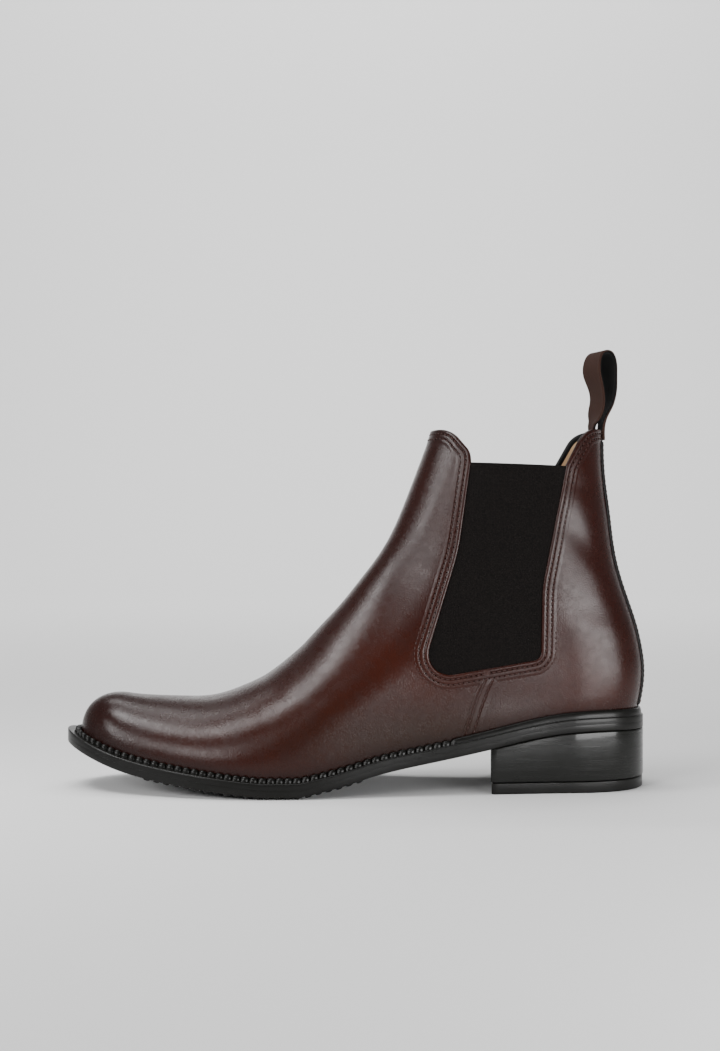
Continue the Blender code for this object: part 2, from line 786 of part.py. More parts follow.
def tread_rib(station):
    """One cross rib: three rings of four points, sunk root, foot and crest."""
    outline = sole_loop(FINE, TREAD_INSET)
    half = len(outline) // 2
    lateral = outline[: half + 1]
    medial = np.concatenate([outline[half:], outline[:1]])[::-1]
    points = []
    for wide, drop in ((TREAD_FOOT, -TREAD_ROOT), (TREAD_FOOT, 0.0), (TREAD_CREST, TREAD_HEIGHT)):
        for end, line in ((-1, lateral), (1, lateral), (1, medial), (-1, medial)):
            here = station + end * wide / 2
            points.append(place(here, np.interp(here, line[:, 0], line[:, 1]), underside(here) - drop))
    return points


def make_outsole():
    """Sole plate, with its cross ribs joined on underneath."""
    loop = sole_loop(OUTLINE_STEPS)
    low = underside(loop[:, 0])
    lower = place(loop[:, 0], loop[:, 1], low)
    upper = place(loop[:, 0], loop[:, 1], low + OUTSOLE_THICKNESS)
    plate("outsole", lower, upper, "rubber")
    points = []
    faces = []
    for rib in range(int((TREAD_TO - TREAD_FROM) / TREAD_PITCH) + 1):
        rings = np.arange(len(points), len(points) + 12).reshape(3, 4)
        points += tread_rib(TREAD_FROM + rib * TREAD_PITCH)
        faces += strip(rings[0], rings[1]) + strip(rings[1], rings[2])
        faces += [list(rings[0]), list(rings[2])]
    cut(bpy.data.objects["outsole"], hide(solid("tread_ribs", points, faces)), "UNION")


def heel_loop(inset):
    """The heel's outline: the rear of the sole's, less an inset, cut across at the breast.

    The breast is slanted: its inner end lies further back than its outer end.
    """
    loop = sole_loop(FINE, inset)
    half = len(loop) // 2
    medial = np.concatenate([loop[half:], loop[:1]])[::-1]
    rear = loop[0, 0]
    share = 1 - np.cos(np.linspace(0, np.pi / 2, HEEL_STEPS))
    outer = rear + (HEEL_LENGTH - rear) * share
    inner = rear + (HEEL_LENGTH - BREAST_SLANT - rear) * share
    left = np.interp(outer, loop[: half + 1, 0], loop[: half + 1, 1])
    right = np.interp(inner, medial[:, 0], medial[:, 1])
    return np.concatenate([np.stack([outer, left], axis=-1), np.stack([inner, right], axis=-1)[:0:-1]])


def heel_piece(name, low_inset, low, high_inset, high, colour):
    """A piece of the heel between a lower and an upper outline. A height may follow the sole."""
    lower = heel_loop(low_inset)
    upper = heel_loop(high_inset)
    if high is None:
        high = underside(upper[:, 0]) - GAP
    plate(name, place(*lower.T, low), place(*upper.T, high), colour)


def main():
    for old in list(bpy.data.objects):
        bpy.data.objects.remove(old)
    make_upper()
    make_gore("gore_outer", LATERAL)
    make_gore("gore_inner", MEDIAL)
    make_backstay()
    make_pull_loop()
    make_insole()
    make_welt()
    make_outsole()
    heel_piece("heel_block", HEEL_TAPER, TOP_LIFT_THICKNESS + GAP, 0.0, None, "heel_stack")
    heel_piece("top_lift", HEEL_TAPER + LIFT_BEVEL, 0.0, HEEL_TAPER, TOP_LIFT_THICKNESS, "rubber")


main()
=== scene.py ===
# %% [markdown]
# A paddock boot is a short riding boot without laces. Its upper is drawn over a wooden form,
# which shoemakers call the last. Two black elastic panels, the gores, let the foot in, and a
# strap of tape helps to pull the boot on. This notebook dresses the plain solids of such a
# boot in leather, elastic, thread, rubber and lining.
#
# The solids come first, because every dressed piece has to sit where its solid is.

# %% Load the solids of the boot
import math
from functools import lru_cache

import bmesh
import bpy
import numpy as np
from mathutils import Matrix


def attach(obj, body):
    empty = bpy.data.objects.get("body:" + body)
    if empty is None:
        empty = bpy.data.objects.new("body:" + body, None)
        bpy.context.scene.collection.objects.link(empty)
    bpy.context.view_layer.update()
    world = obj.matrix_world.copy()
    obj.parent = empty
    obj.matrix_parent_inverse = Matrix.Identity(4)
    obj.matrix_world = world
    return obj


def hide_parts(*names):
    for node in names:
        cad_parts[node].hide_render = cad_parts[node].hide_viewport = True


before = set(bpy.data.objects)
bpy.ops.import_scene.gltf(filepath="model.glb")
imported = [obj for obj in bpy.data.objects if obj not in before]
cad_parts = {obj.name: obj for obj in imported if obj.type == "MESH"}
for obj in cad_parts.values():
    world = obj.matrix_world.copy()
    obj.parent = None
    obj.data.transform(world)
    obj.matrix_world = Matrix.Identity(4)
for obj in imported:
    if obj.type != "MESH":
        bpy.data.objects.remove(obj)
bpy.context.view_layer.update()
print("solids:", sorted(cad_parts))

# %% [markdown]
# The camera stands level with the middle of the shaft and looks straight at the outer side.
# It could be placed by eye, but measuring helps: the sole's near edge shows lower than its
# far edge, and that difference gives the distance, about 0.8 m. The lens follows from how
# large the boot stands in the frame.

# %% Camera
CAMERA_AT = (0.0017, -0.800, 0.1281)
LENS = 55.3
SENSOR = 36.0


def add_object(name, data):
    """A new object in the scene, for a mesh, a lamp or a camera."""
    made = bpy.data.objects.new(name, data)
    bpy.context.scene.collection.objects.link(made)
    return made


camera_data = bpy.data.cameras.new("camera")
camera_data.lens = LENS
camera_data.sensor_width = SENSOR
camera = add_object("camera", camera_data)
camera.location = CAMERA_AT
camera.rotation_euler = (math.radians(90), 0, 0)
bpy.context.scene.camera = camera
print("camera at", CAMERA_AT, "lens", LENS)

# %% [markdown]
# The last is a smooth body without flat places, so it can't be put together from boxes and
# cylinders. It could be sculpted, but then no edge would follow a size. Here it is a formula
# instead: tables give the line of the sole, the ridge over the toe and up the shin, the back
# line and the half widths, and a rounding function closes the form between them. A point of
# the last is named by its station, measured from the sole's rear towards the toe, and by its
# height. The values are those of the solids, so each dressed piece fits its solid.

# %% Sizes of the boot
SOLE_LENGTH = 0.2845
HEEL_LENGTH = 0.0775
BALL_WIDTH = 0.094
HEEL_WIDTH = 0.064
SHAFT_WIDTH = 0.060
HEEL_RISE = 0.0277
TOE_SPRING = 0.0212
TOE_HEIGHT = 0.0285
COLLAR_FRONT = 0.1745
COLLAR_REAR = 0.1765
GORE_TOP = 0.1582
UPPER_WALL = 0.0020
OUTSOLE_THICKNESS = 0.0035
WELT_THICKNESS = 0.0030
TOP_LIFT_THICKNESS = 0.0056
INSOLE_THICKNESS = 0.0042
GORE_WALL = 0.0014
GORE_SINK = 0.0004
BACKSTAY_WALL = 0.0010
GAP = 0.0003
INSOLE_CLEARANCE = 0.0009
HEEL_LEDGE = 0.0036
TOE_LEDGE = 0.0065
RIB_WIDTH = 0.0018
RIB_LEAN = 0.0007
RIB_HEIGHT = 0.0030
TREAD_HEIGHT = 0.0010
HEEL_TAPER = 0.0004
BREAST_SLANT = 0.0050
GORE_AT = 0.0401
GORE_WIDTH = 0.0456
GORE_HEIGHT = 0.0990
GORE_CORNER = 0.0090
BACKSTAY_WIDTH = 0.018
BACKSTAY_TOP = 0.170
LOOP_HEIGHT = 0.0385
LOOP_WIDTH = 0.0160
LOOP_WALL = 0.0015
LOOP_TUCK = 0.0140
LOOP_TWIST = 0.42
TOE_ROUND = 0.088
TOE_CAP_ROUND = 0.0230
INSTEP_ROUND = 0.046
FEATHER_TUCK = 0.0008
FEATHER_RISE = 0.0110
SHAFT_BLEND_LOW = 0.026
SHAFT_BLEND_HIGH = 0.086
SHARPNESS = 2.15
REACH_POWER = 4.0
TINY = 1e-9
STITCHED = OUTSOLE_THICKNESS + WELT_THICKNESS
TOE_TIP = SOLE_LENGTH - TOE_LEDGE
LATERAL = -1.0
MEDIAL = 1.0


def table(names, *rows):
    """A table with named columns, as a dictionary of arrays."""
    return dict(zip(names.split(), np.array(rows, float).T))


# %% Tables of the last
SOLE_LINE = table(
    "at     heel   toe",
    (0.000, 1.000, 0.00),
    (0.080, 1.025, 0.00),
    (0.170, 0.955, 0.00),
    (0.270, 0.742, 0.00),
    (0.390, 0.490, 0.00),
    (0.460, 0.340, 0.00),
    (0.520, 0.165, 0.00),
    (0.565, 0.055, 0.00),
    (0.605, 0.000, -0.02),
    (0.655, 0.000, 0.00),
    (0.735, 0.000, 0.115),
    (0.820, 0.000, 0.275),
    (0.905, 0.000, 0.515),
    (1.000, 0.000, 1.00),
)
FOOT = table(
    "at     lateral medial  centre  ledge  rib",
    (0.000, -0.300, 0.060, 0.036, 0.00, 1.20),
    (0.140, -0.300, -0.060, 0.030, 0.00, 1.10),
    (0.280, -0.040, -0.300, 0.014, 0.10, 0.90),
    (0.400, 0.200, -0.400, 0.000, 0.30, 0.80),
    (0.500, 0.520, -0.120, 0.010, 0.55, 0.80),
    (0.600, 0.840, 0.380, 0.030, 0.65, 0.80),
    (0.690, 0.860, 0.660, 0.042, 0.65, 0.80),
    (0.790, 0.660, 0.680, 0.040, 0.70, 0.80),
    (0.900, 0.420, 0.500, 0.020, 0.85, 0.80),
    (1.000, 0.300, 0.360, 0.005, 1.00, 0.80),
)
RIDGE = table(
    "at     toe    leg",
    (0.336, 1.250, 1.205),
    (0.367, 1.250, 1.000),
    (0.401, 1.250, 0.793),
    (0.435, 1.250, 0.609),
    (0.488, 1.250, 0.447),
    (0.523, 1.250, 0.364),
    (0.561, 1.250, 0.285),
    (0.631, 1.250, 0.137),
    (0.701, 1.215, 0.039),
    (0.750, 1.150, 0.004),
    (0.806, 1.068, 0.000),
    (0.904, 0.950, 0.000),
    (0.985, 0.890, 0.000),
)
COLLAR_ROW = 1
VAMP_ROW = 5
BACK = table(
    "up     lean    round  wide",
    (0.000, 0.0100, 0.56, 0.520),
    (0.080, 0.0020, 0.56, 0.520),
    (0.160, -0.0010, 0.57, 0.512),
    (0.240, 0.0040, 0.58, 0.500),
    (0.320, 0.0137, 0.59, 0.492),
    (0.420, 0.0306, 0.60, 0.485),
    (0.550, 0.0488, 0.63, 0.480),
    (0.700, 0.0590, 0.66, 0.490),
    (0.850, 0.0682, 0.68, 0.505),
    (1.000, 0.0698, 0.68, 0.515),
    (1.100, 0.0700, 0.68, 0.520),
)
GORE = table(
    "along  down   round",
    (1.026, -0.006, 0.0),
    (1.156, 0.426, 11.0),
    (1.572, 1.052, 1.15),
    (0.275, 0.955, 0.50),
    (0.262, 0.600, 7.0),
    (0.000, 0.012, 0.0),
)
COLLAR_FRONT_LOBE = table(
    "along   up     round",
    (1.800, 1.000, 0.0),
    (1.235, 1.020, 1.2),
    (1.035, 0.340, 0.9),
)
COLLAR_REAR_LOBE = table(
    "along   up     round",
    (-0.215, 0.880, 1.3),
    (-1.000, 1.080, 0.0),
)
STRAP = table(
    "fore    up     turn",
    (0.150, 0.190, 0.75),
    (0.090, 0.370, 0.75),
    (0.150, 0.540, 0.82),
    (0.260, 0.700, 1.00),
    (0.250, 0.860, 0.95),
    (0.100, 0.970, 0.80),
    (-0.110, 0.970, 0.75),
    (-0.230, 0.870, 0.85),
    (-0.260, 0.680, 0.85),
    (-0.270, 0.470, 0.70),
    (-0.220, 0.300, 0.45),
)
print("tables:", len(FOOT["at"]), "sections of the foot,", len(BACK["up"]), "of the back")

# %% [markdown]
# Between the rows of a table the value should run smoothly. Straight lines would leave a
# crease at each row. A natural cubic spline has no jump in its curvature, so light glides
# over it, and it needs only numpy.

# %% Curves and rounding


def spline(knots, values, at):
    """Natural cubic spline: its second derivative is linear between knots and 0 at both ends.

    Past its ends it runs on straight.
    """
    count = len(knots)
    step = np.diff(knots)
    slope = np.diff(values) / step
    system = np.eye(count)
    target = np.zeros(count)
    inner = np.arange(1, count - 1)
    system[inner, inner - 1] = step[:-1]
    system[inner, inner] = 2 * (step[:-1] + step[1:])
    system[inner, inner + 1] = step[1:]
    target[inner] = 6 * np.diff(slope)
    bend = np.linalg.solve(system, target)
    at = np.asarray(at, float)
    inside = np.clip(at, knots[0], knots[-1])
    low = np.clip(np.searchsorted(knots, inside, side="right") - 1, 0, count - 2)
    width = step[low]
    left = (knots[low + 1] - inside) / width
    right = 1 - left
    cubic = ((left**3 - left) * bend[low] + (right**3 - right) * bend[low + 1]) * width**2 / 6
    value = left * values[low] + right * values[low + 1] + cubic
    start_slope = slope[0] - step[0] * bend[1] / 6
    end_slope = slope[-1] + step[-1] * bend[-2] / 6
    value = value + np.where(at < knots[0], (at - knots[0]) * start_slope, 0)
    return value + np.where(at > knots[-1], (at - knots[-1]) * end_slope, 0)


def mix(low, high, share):
    """Straight mix: low plus share of the way to high."""
    return low + (high - low) * share


def ease(value):
    """Smooth step: 3 v squared minus 2 v cubed, from 0 to 1."""
    value = np.clip(value, 0, 1)
    return value * value * (3 - 2 * value)


def rounded(depth, sharpness=SHARPNESS):
    """Quarter of a superellipse: (1 - (1 - depth)^p)^(1/p), 0 at the outline and 1 inside."""
    inside = np.clip(depth, 0, 1)
    return (1 - (1 - inside) ** sharpness) ** (1 / sharpness)


def unrounded(share, sharpness=SHARPNESS):
    """The depth at which rounded() reaches this share."""
    return 1 - (1 - np.clip(share, 0, 1) ** sharpness) ** (1 / sharpness)


def cosine_steps(count):
    """Steps from 0 to 1 that are close together at both ends: (1 - cos) / 2."""
    return (1 - np.cos(np.linspace(0, np.pi, count))) / 2


def lengths(points):
    """Length along a chain of points, from 0 at its first one."""
    step = np.linalg.norm(np.diff(points, axis=0), axis=1)
    return np.concatenate([[0], np.cumsum(step)])


def read_along(values, along, at):
    """Rows of values known at some lengths, read at other lengths along straight lines."""
    return np.stack([np.interp(at, along, column) for column in values.T], axis=-1)


def resample(points, at):
    """Points of a chain at these lengths along it."""
    return read_along(points, lengths(points), at)


def spline_chain(points, count):
    """Points of a smooth chain at even lengths, which its first two columns measure."""
    along = lengths(points[:, :2])
    even = np.linspace(0, along[-1], count)
    return np.stack([spline(along, column, even) for column in points.T], axis=-1), even


def loop_area(loop):
    """Twice the area in a closed loop, more than 0 if it runs anticlockwise."""
    after = np.roll(loop, -1, axis=0)
    return np.sum(loop[:, 0] * after[:, 1] - loop[:, 1] * after[:, 0])


print("rounding at a tenth of the depth:", round(float(rounded(0.1)), 3))

# %% The last as functions of station and height


def foot(column, station):
    """A column of the foot's table at a station."""
    return spline(FOOT["at"], FOOT[column], station / SOLE_LENGTH)


def ledge(station):
    """How far the welt stands out past the upper."""
    return mix(HEEL_LEDGE, TOE_LEDGE, foot("ledge", station))


def underside(station):
    """Height of the sole's underside: heel curve plus toe curve, never below the tread."""
    at = station / SOLE_LENGTH
    heel = spline(SOLE_LINE["at"], SOLE_LINE["heel"], at) * HEEL_RISE
    toe = spline(SOLE_LINE["at"], SOLE_LINE["toe"], at) * TOE_SPRING
    return TREAD_HEIGHT + np.maximum(heel + toe, 0)


def feather(station):
    """Height of the line where the upper meets the welt."""
    return underside(station) + STITCHED


SEAT = float(feather(0.0))


def back_column(column, height):
    """A column of the back's table at a height."""
    return spline(BACK["up"], BACK[column], (height - SEAT) / (COLLAR_REAR - SEAT))


def back(height):
    """Station of the back of the upper at this height."""
    return back_column("lean", height) * SOLE_LENGTH


def ridge_height(station):
    """How high the last stands above the feather line, closed by a quarter round at the toe."""
    at = station / SOLE_LENGTH
    base = RIDGE["toe"][COLLAR_ROW] * TOE_HEIGHT
    leg_height = COLLAR_FRONT - feather(RIDGE["at"][COLLAR_ROW] * SOLE_LENGTH) - base
    toe = spline(RIDGE["at"], RIDGE["toe"], at) * TOE_HEIGHT
    leg = spline(RIDGE["at"], RIDGE["leg"], at) * leg_height
    return (toe + leg) * rounded((TOE_TIP - station) / TOE_CAP_ROUND, 2.0)


@lru_cache(maxsize=None)
def ridge_line(steps=280):
    """Station and height along the ridge, from the toe's tip up to above the collar."""
    low = RIDGE["at"][0] * SOLE_LENGTH
    station = TOE_TIP - (TOE_TIP - low) * np.linspace(0, 1, steps) ** 2
    return np.stack([station, feather(station) + ridge_height(station)], axis=-1)


@lru_cache(maxsize=None)
def shin_line():
    """The part of the ridge that climbs the shin, and the length along the ridge there."""
    rising = ridge_line()[:, 0] < RIDGE["at"][VAMP_ROW] * SOLE_LENGTH
    return ridge_line()[rising], lengths(ridge_line())[rising]


def ridge_station(height):
    """Station of the ridge at a height on the shin."""
    shin, _ = shin_line()
    return np.interp(height, shin[:, 1], shin[:, 0])


def ridge_distance(station, height):
    """Distance to the ridge in the side view: the least distance to a chain of short lines."""
    start = ridge_line()[:-1]
    step = np.diff(ridge_line(), axis=0)
    flat = np.stack([station, height], axis=-1).reshape(-1, 2)
    least = np.empty(len(flat))
    for part in np.array_split(np.arange(len(flat)), max(1, len(flat) // 8000)):
        offset = flat[part, None, :] - start
        along = np.clip((offset * step).sum(axis=-1) / (step**2).sum(axis=-1), 0, 1)
        least[part] = np.linalg.norm(offset - along[..., None] * step, axis=-1).min(axis=-1)
    return least.reshape(np.shape(station))


def across(side, station, height):
    """How far the last lies across at a station and height: its half width times its rounding.

    The rounding is the product of three superellipses: over the ridge, at the toe's plan and
    round the back.
    """
    column = "lateral" if side < 0 else "medial"
    above = np.maximum(height - feather(station), 0)
    foot_wide = mix(HEEL_WIDTH, BALL_WIDTH, foot(column, station)) / 2
    foot_wide = foot_wide - FEATHER_TUCK * np.clip(1 - above / FEATHER_RISE, 0, 1) ** 2
    shaft_wide = back_column("wide", height) * SHAFT_WIDTH
    share = ease((above - SHAFT_BLEND_LOW) / (SHAFT_BLEND_HIGH - SHAFT_BLEND_LOW))
    wide = mix(foot_wide, shaft_wide, share)
    depth = ridge_distance(station, height)
    reach = (depth + above + TINY) ** -REACH_POWER + INSTEP_ROUND**-REACH_POWER
    cover = rounded(depth * reach ** (1 / REACH_POWER))
    cover = cover * mix(rounded((TOE_TIP - station) / TOE_ROUND), 1, share)
    spread = back_column("round", height) * HEEL_WIDTH
    cover = cover * rounded((station - back(height)) / spread)
    return foot("centre", station) * BALL_WIDTH * (1 - cover) + side * wide * cover


def offset_loop(loop, distance):
    """A closed loop of plan points moved outwards by a distance, along mitred normals."""
    forward = np.roll(loop, -1, axis=0) - loop
    forward = forward / np.linalg.norm(forward, axis=1, keepdims=True)
    outward = np.stack([forward[:, 1], -forward[:, 0]], axis=-1)
    before = np.roll(outward, 1, axis=0)
    mitre = (outward + before) / (1 + (outward * before).sum(axis=1, keepdims=True))
    return loop + np.sign(loop_area(loop)) * mitre * np.reshape(distance, (-1, 1))


@lru_cache(maxsize=None)
def feather_loop(count):
    """The upper's outline on the welt: outer side from the rear to the tip, and back inside."""
    rear = back(SEAT)
    station = rear + (TOE_TIP - rear) * cosine_steps(count)
    outer = across(LATERAL, station, feather(station))
    inner = across(MEDIAL, station, feather(station))
    outer[0] = inner[0] = foot("centre", rear) * BALL_WIDTH
    outer[-1] = inner[-1] = foot("centre", TOE_TIP) * BALL_WIDTH
    lateral = np.stack([station, outer], axis=-1)
    medial = np.stack([station, inner], axis=-1)
    return np.concatenate([lateral, medial[-2:0:-1]])


@lru_cache(maxsize=None)
def sole_loop(count, inset=0.0):
    """The sole's outline: the feather line moved out by the ledge, less an inset."""
    loop = feather_loop(count)
    return offset_loop(loop, ledge(loop[:, 0]) - inset)


FINE = 600
REAR = min(0.0, float(back(np.linspace(SEAT, COLLAR_REAR, FINE)).min()) - GAP - BACKSTAY_WALL)
MIDDLE = (SOLE_LENGTH + REAR) / 2
MIDLINE = (sole_loop(FINE)[:, 1].max() + sole_loop(FINE)[:, 1].min()) / 2


def place(station, sideways, height):
    """Points of the boot in the model's frame: x is the middle less the station."""
    station, sideways, height = np.broadcast_arrays(station, sideways, height)
    return np.stack([MIDDLE - station, sideways - MIDLINE, height], axis=-1)


print(f"toe tip at x = {MIDDLE - SOLE_LENGTH:.4f}, middle line at y = {MIDLINE:.5f}")

# %% [markdown]
# Every surface below is a grid of points, with rows and columns. One helper turns a grid's
# numbering into quads, and another fills a mesh straight from the arrays with foreach_set,
# which is many times faster than adding vertices one by one.

# %% Helpers for meshes


def grid_quads(rows, columns, wrap_rows=False, wrap_columns=False):
    """Quads of a grid: each joins a point, its neighbour, and the two in the next row."""
    number = np.arange(rows * columns).reshape(rows, columns)
    if wrap_rows:
        number = np.concatenate([number, number[:1]])
    if wrap_columns:
        number = np.concatenate([number, number[:, :1]], axis=1)
    corners = [number[:-1, :-1], number[:-1, 1:], number[1:, 1:], number[1:, :-1]]
    return np.stack([corner.reshape(-1) for corner in corners], axis=-1)


def strap_quads(rows, columns, across_rows=False):
    """Quads of a flat strap, closed at both ends.

    Each of its sections goes out along one face and back along the other, so an end is closed
    by quads between the points that lie opposite each other. A section is a row of the grid,
    or a column if across_rows is set.
    """
    number = np.arange(rows * columns).reshape(rows, columns)
    sections = number.T[::-1] if across_rows else number
    half = sections.shape[1] // 2
    caps = []
    for section in (sections[0], sections[-1]):
        facing = section[::-1]
        corners = [section[: half - 1], section[1:half], facing[1:half], facing[: half - 1]]
        caps.append(np.stack(corners, axis=-1))
    sides = grid_quads(rows, columns, across_rows, not across_rows)
    return np.concatenate([sides, caps[0][:, ::-1], caps[1]])


def signed_volume(points, faces):
    """Six times the volume under quads: the sum of triple products of their triangles."""
    a, b, c, d = (points[faces[:, corner]] for corner in range(4))
    return (a * np.cross(b, c)).sum() + (a * np.cross(c, d)).sum()


def make_piece(name, points, quads, materials, groups=None, closed=True):
    """An object from points and quads. groups gives each quad's material number."""
    points = np.ascontiguousarray(points.reshape(-1, 3), dtype=np.float32)
    if closed and signed_volume(points.astype(float), quads) < 0:
        quads = quads[:, ::-1]
    mesh = bpy.data.meshes.new(name)
    mesh.vertices.add(len(points))
    mesh.vertices.foreach_set("co", points.ravel())
    mesh.loops.add(quads.size)
    mesh.loops.foreach_set("vertex_index", np.ascontiguousarray(quads, dtype=np.int32).ravel())
    mesh.polygons.add(len(quads))
    mesh.polygons.foreach_set("loop_start", np.arange(len(quads), dtype=np.int32) * 4)
    for material in materials:
        mesh.materials.append(material)
    if groups is not None:
        mesh.polygons.foreach_set("material_index", np.asarray(groups, dtype=np.int32))
    mesh.update(calc_edges=True)
    mesh.validate()
    mesh.shade_smooth()
    return add_object(name, mesh)


def sharpen(piece, degrees):
    """Mark edges sharp that turn by more than this angle."""
    piece.data.set_sharp_from_angle(angle=math.radians(degrees))


def add_uv(piece, points_uv):
    """A UV map from one pair of numbers per point."""
    layer = piece.data.uv_layers.new(name="surface")
    corner = np.empty(len(piece.data.loops), dtype=np.int32)
    piece.data.loops.foreach_get("vertex_index", corner)
    layer.data.foreach_set("uv", points_uv.reshape(-1, 2)[corner].astype(np.float32).ravel())


def slopes(grid, axis, wrap):
    """Differences along one axis of a grid of points."""
    if wrap:
        return np.roll(grid, -1, axis=axis) - np.roll(grid, 1, axis=axis)
    return np.gradient(grid, axis=axis)


def grid_normals(grid, wrap_columns=False):
    """Unit normals of a grid: the cross product of its slopes along rows and columns."""
    normal = np.cross(slopes(grid, 0, False), slopes(grid, 1, wrap_columns))
    return normal / np.maximum(np.linalg.norm(normal, axis=-1, keepdims=True), TINY)


def finish_piece(piece, replaces=()):
    """What each finished piece needs: its body and the solids that it stands for."""
    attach(piece, "root")
    if replaces:
        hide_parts(*replaces)
    piece.data.calc_loop_triangles()
    print(piece.name, "triangles:", len(piece.data.loop_triangles))


def apply_modifiers(piece):
    """Replace a piece's mesh by what its modifiers make of it."""
    depsgraph = bpy.context.evaluated_depsgraph_get()
    mesh = bpy.data.meshes.new_from_object(piece.evaluated_get(depsgraph))
    piece.modifiers.clear()
    piece.data = mesh


def cut_piece(piece, loop, near, far, operation):
    """Cut a piece with a prism: a loop of the side view carried across the boot."""
    low = place(loop[:, 0], near, loop[:, 1])
    high = place(loop[:, 0], far, loop[:, 1])
    count = len(loop)
    number = np.arange(count)
    after = np.roll(number, -1)
    sides = np.stack([number, after, after + count, number + count], axis=-1).tolist()
    faces = sides + [number[::-1].tolist(), (number + count).tolist()]
    mesh = bpy.data.meshes.new("cutter")
    mesh.from_pydata(np.concatenate([low, high]).tolist(), [], faces)
    work = add_object("cutter", mesh)
    if (loop_area(loop) > 0) != (far > near):
        mesh.flip_normals()
    boolean = piece.modifiers.new("cut", "BOOLEAN")
    boolean.operation = operation
    boolean.solver = "EXACT"
    boolean.object = work
    apply_modifiers(piece)
    bpy.data.objects.remove(work)


print("mesh helpers ready")

# %% [markdown]
# The upper's leather is drum-dyed brown and then burnished: darker at the toe and at the heel,
# redder on the flank. It is also darker along the ridge, and painted shade darkens it along the
# sole, where the upper meets the welt. Real grain is a net of tiny cells with fine creases. A
# photograph could be laid over it, but noise does as well and follows every size: a Voronoi
# pattern gives the cells, two layers of noise give cloudy colour, and both also move the
# roughness, so that the highlight breaks up as it does on hide.

# %% Helpers for materials


def new_material(name, colour, roughness, specular):
    """A material with a Principled shader, and constant values on its own sockets."""
    material = bpy.data.materials.new(name)
    material.use_nodes = True
    material.diffuse_color = (*colour, 1.0)
    shader = material.node_tree.nodes["Principled BSDF"]
    shader.inputs["Base Color"].default_value = (*colour, 1.0)
    shader.inputs["Roughness"].default_value = roughness
    shader.inputs["Specular IOR Level"].default_value = specular
    return material, material.node_tree, shader


def set_sockets(shader, values):
    """Constant values on more of the shader's own sockets, by their names."""
    for name, value in values.items():
        shader.inputs[name].default_value = value


def node(tree, kind, **values):
    """A node with its properties set."""
    made = tree.nodes.new(kind)
    for key, value in values.items():
        setattr(made, key, value)
    return made


def coordinates(tree, kind="Object", scale=(1, 1, 1)):
    """Object coordinates, or the piece's own UV map, through a Mapping node."""
    if kind == "UV":
        source = node(tree, "ShaderNodeUVMap", uv_map="surface")
    else:
        source = node(tree, "ShaderNodeTexCoord")
    mapping = node(tree, "ShaderNodeMapping")
    mapping.inputs["Scale"].default_value = scale
    tree.links.new(source.outputs[kind], mapping.inputs["Vector"])
    return mapping.outputs["Vector"]


def noise(tree, vector, scale, detail=3.0, roughness=0.55):
    """Cloudy noise as a value from 0 to 1."""
    made = node(tree, "ShaderNodeTexNoise")
    made.inputs["Scale"].default_value = scale
    made.inputs["Detail"].default_value = detail
    made.inputs["Roughness"].default_value = roughness
    tree.links.new(vector, made.inputs["Vector"])
    return made.outputs["Fac"]


def voronoi(tree, vector, scale, feature="DISTANCE_TO_EDGE"):
    """Cells: the distance to the nearest edge or centre."""
    made = node(tree, "ShaderNodeTexVoronoi", feature=feature)
    made.inputs["Scale"].default_value = scale
    tree.links.new(vector, made.inputs["Vector"])
    return made.outputs["Distance"]


def bands(tree, vector, direction, scale, distortion, detail=2.0):
    """Even bands, a little distorted, as a value from 0 to 1."""
    made = node(tree, "ShaderNodeTexWave", wave_type="BANDS", bands_direction=direction)
    made.inputs["Scale"].default_value = scale
    made.inputs["Distortion"].default_value = distortion
    made.inputs["Detail"].default_value = detail
    tree.links.new(vector, made.inputs["Vector"])
    return made.outputs["Fac"]


def remap(tree, value, low, high, to_low=0.0, to_high=1.0):
    """A value carried from one range to another."""
    made = node(tree, "ShaderNodeMapRange")
    made.inputs["From Min"].default_value = low
    made.inputs["From Max"].default_value = high
    made.inputs["To Min"].default_value = to_low
    made.inputs["To Max"].default_value = to_high
    tree.links.new(value, made.inputs["Value"])
    return made.outputs["Result"]


def combine(tree, operation, first, second):
    """Two values joined by an arithmetic operation. Either may be a plain number."""
    made = node(tree, "ShaderNodeMath", operation=operation)
    for socket, value in zip(made.inputs, (first, second)):
        if isinstance(value, (int, float)):
            socket.default_value = value
        else:
            tree.links.new(value, socket)
    return made.outputs["Value"]


def blend_colour(tree, share, first, second):
    """Mix of two colours by a share. Each may be a colour or an output."""
    made = node(tree, "ShaderNodeMix", data_type="RGBA")
    tree.links.new(share, made.inputs["Factor"])
    sockets = [socket for socket in made.inputs if socket.type == "RGBA"]
    for socket, value in zip(sockets, (first, second)):
        if isinstance(value, tuple):
            socket.default_value = (*value, 1.0)
        else:
            tree.links.new(value, socket)
    return [output for output in made.outputs if output.type == "RGBA"][0]


def bump(tree, shader, height, distance, strength=1.0, before=None):
    """A bump from a height, on top of an earlier bump if there is one."""
    made = node(tree, "ShaderNodeBump")
    made.inputs["Distance"].default_value = distance
    made.inputs["Strength"].default_value = strength
    tree.links.new(height, made.inputs["Height"])
    if before is not None:
        tree.links.new(before, made.inputs["Normal"])
    tree.links.new(made.outputs["Normal"], shader.inputs["Normal"])
    return made.outputs["Normal"]


print("material helpers ready")

# %% Leather of the upper
LEATHER_RED = (0.034, 0.0062, 0.0026)
LEATHER_BROWN = (0.0205, 0.0042, 0.0025)
LEATHER_DARK = (0.0080, 0.0017, 0.0012)
LEATHER_OLIVE = (0.0185, 0.0100, 0.0050)
LEATHER_ROUGHNESS = 0.27


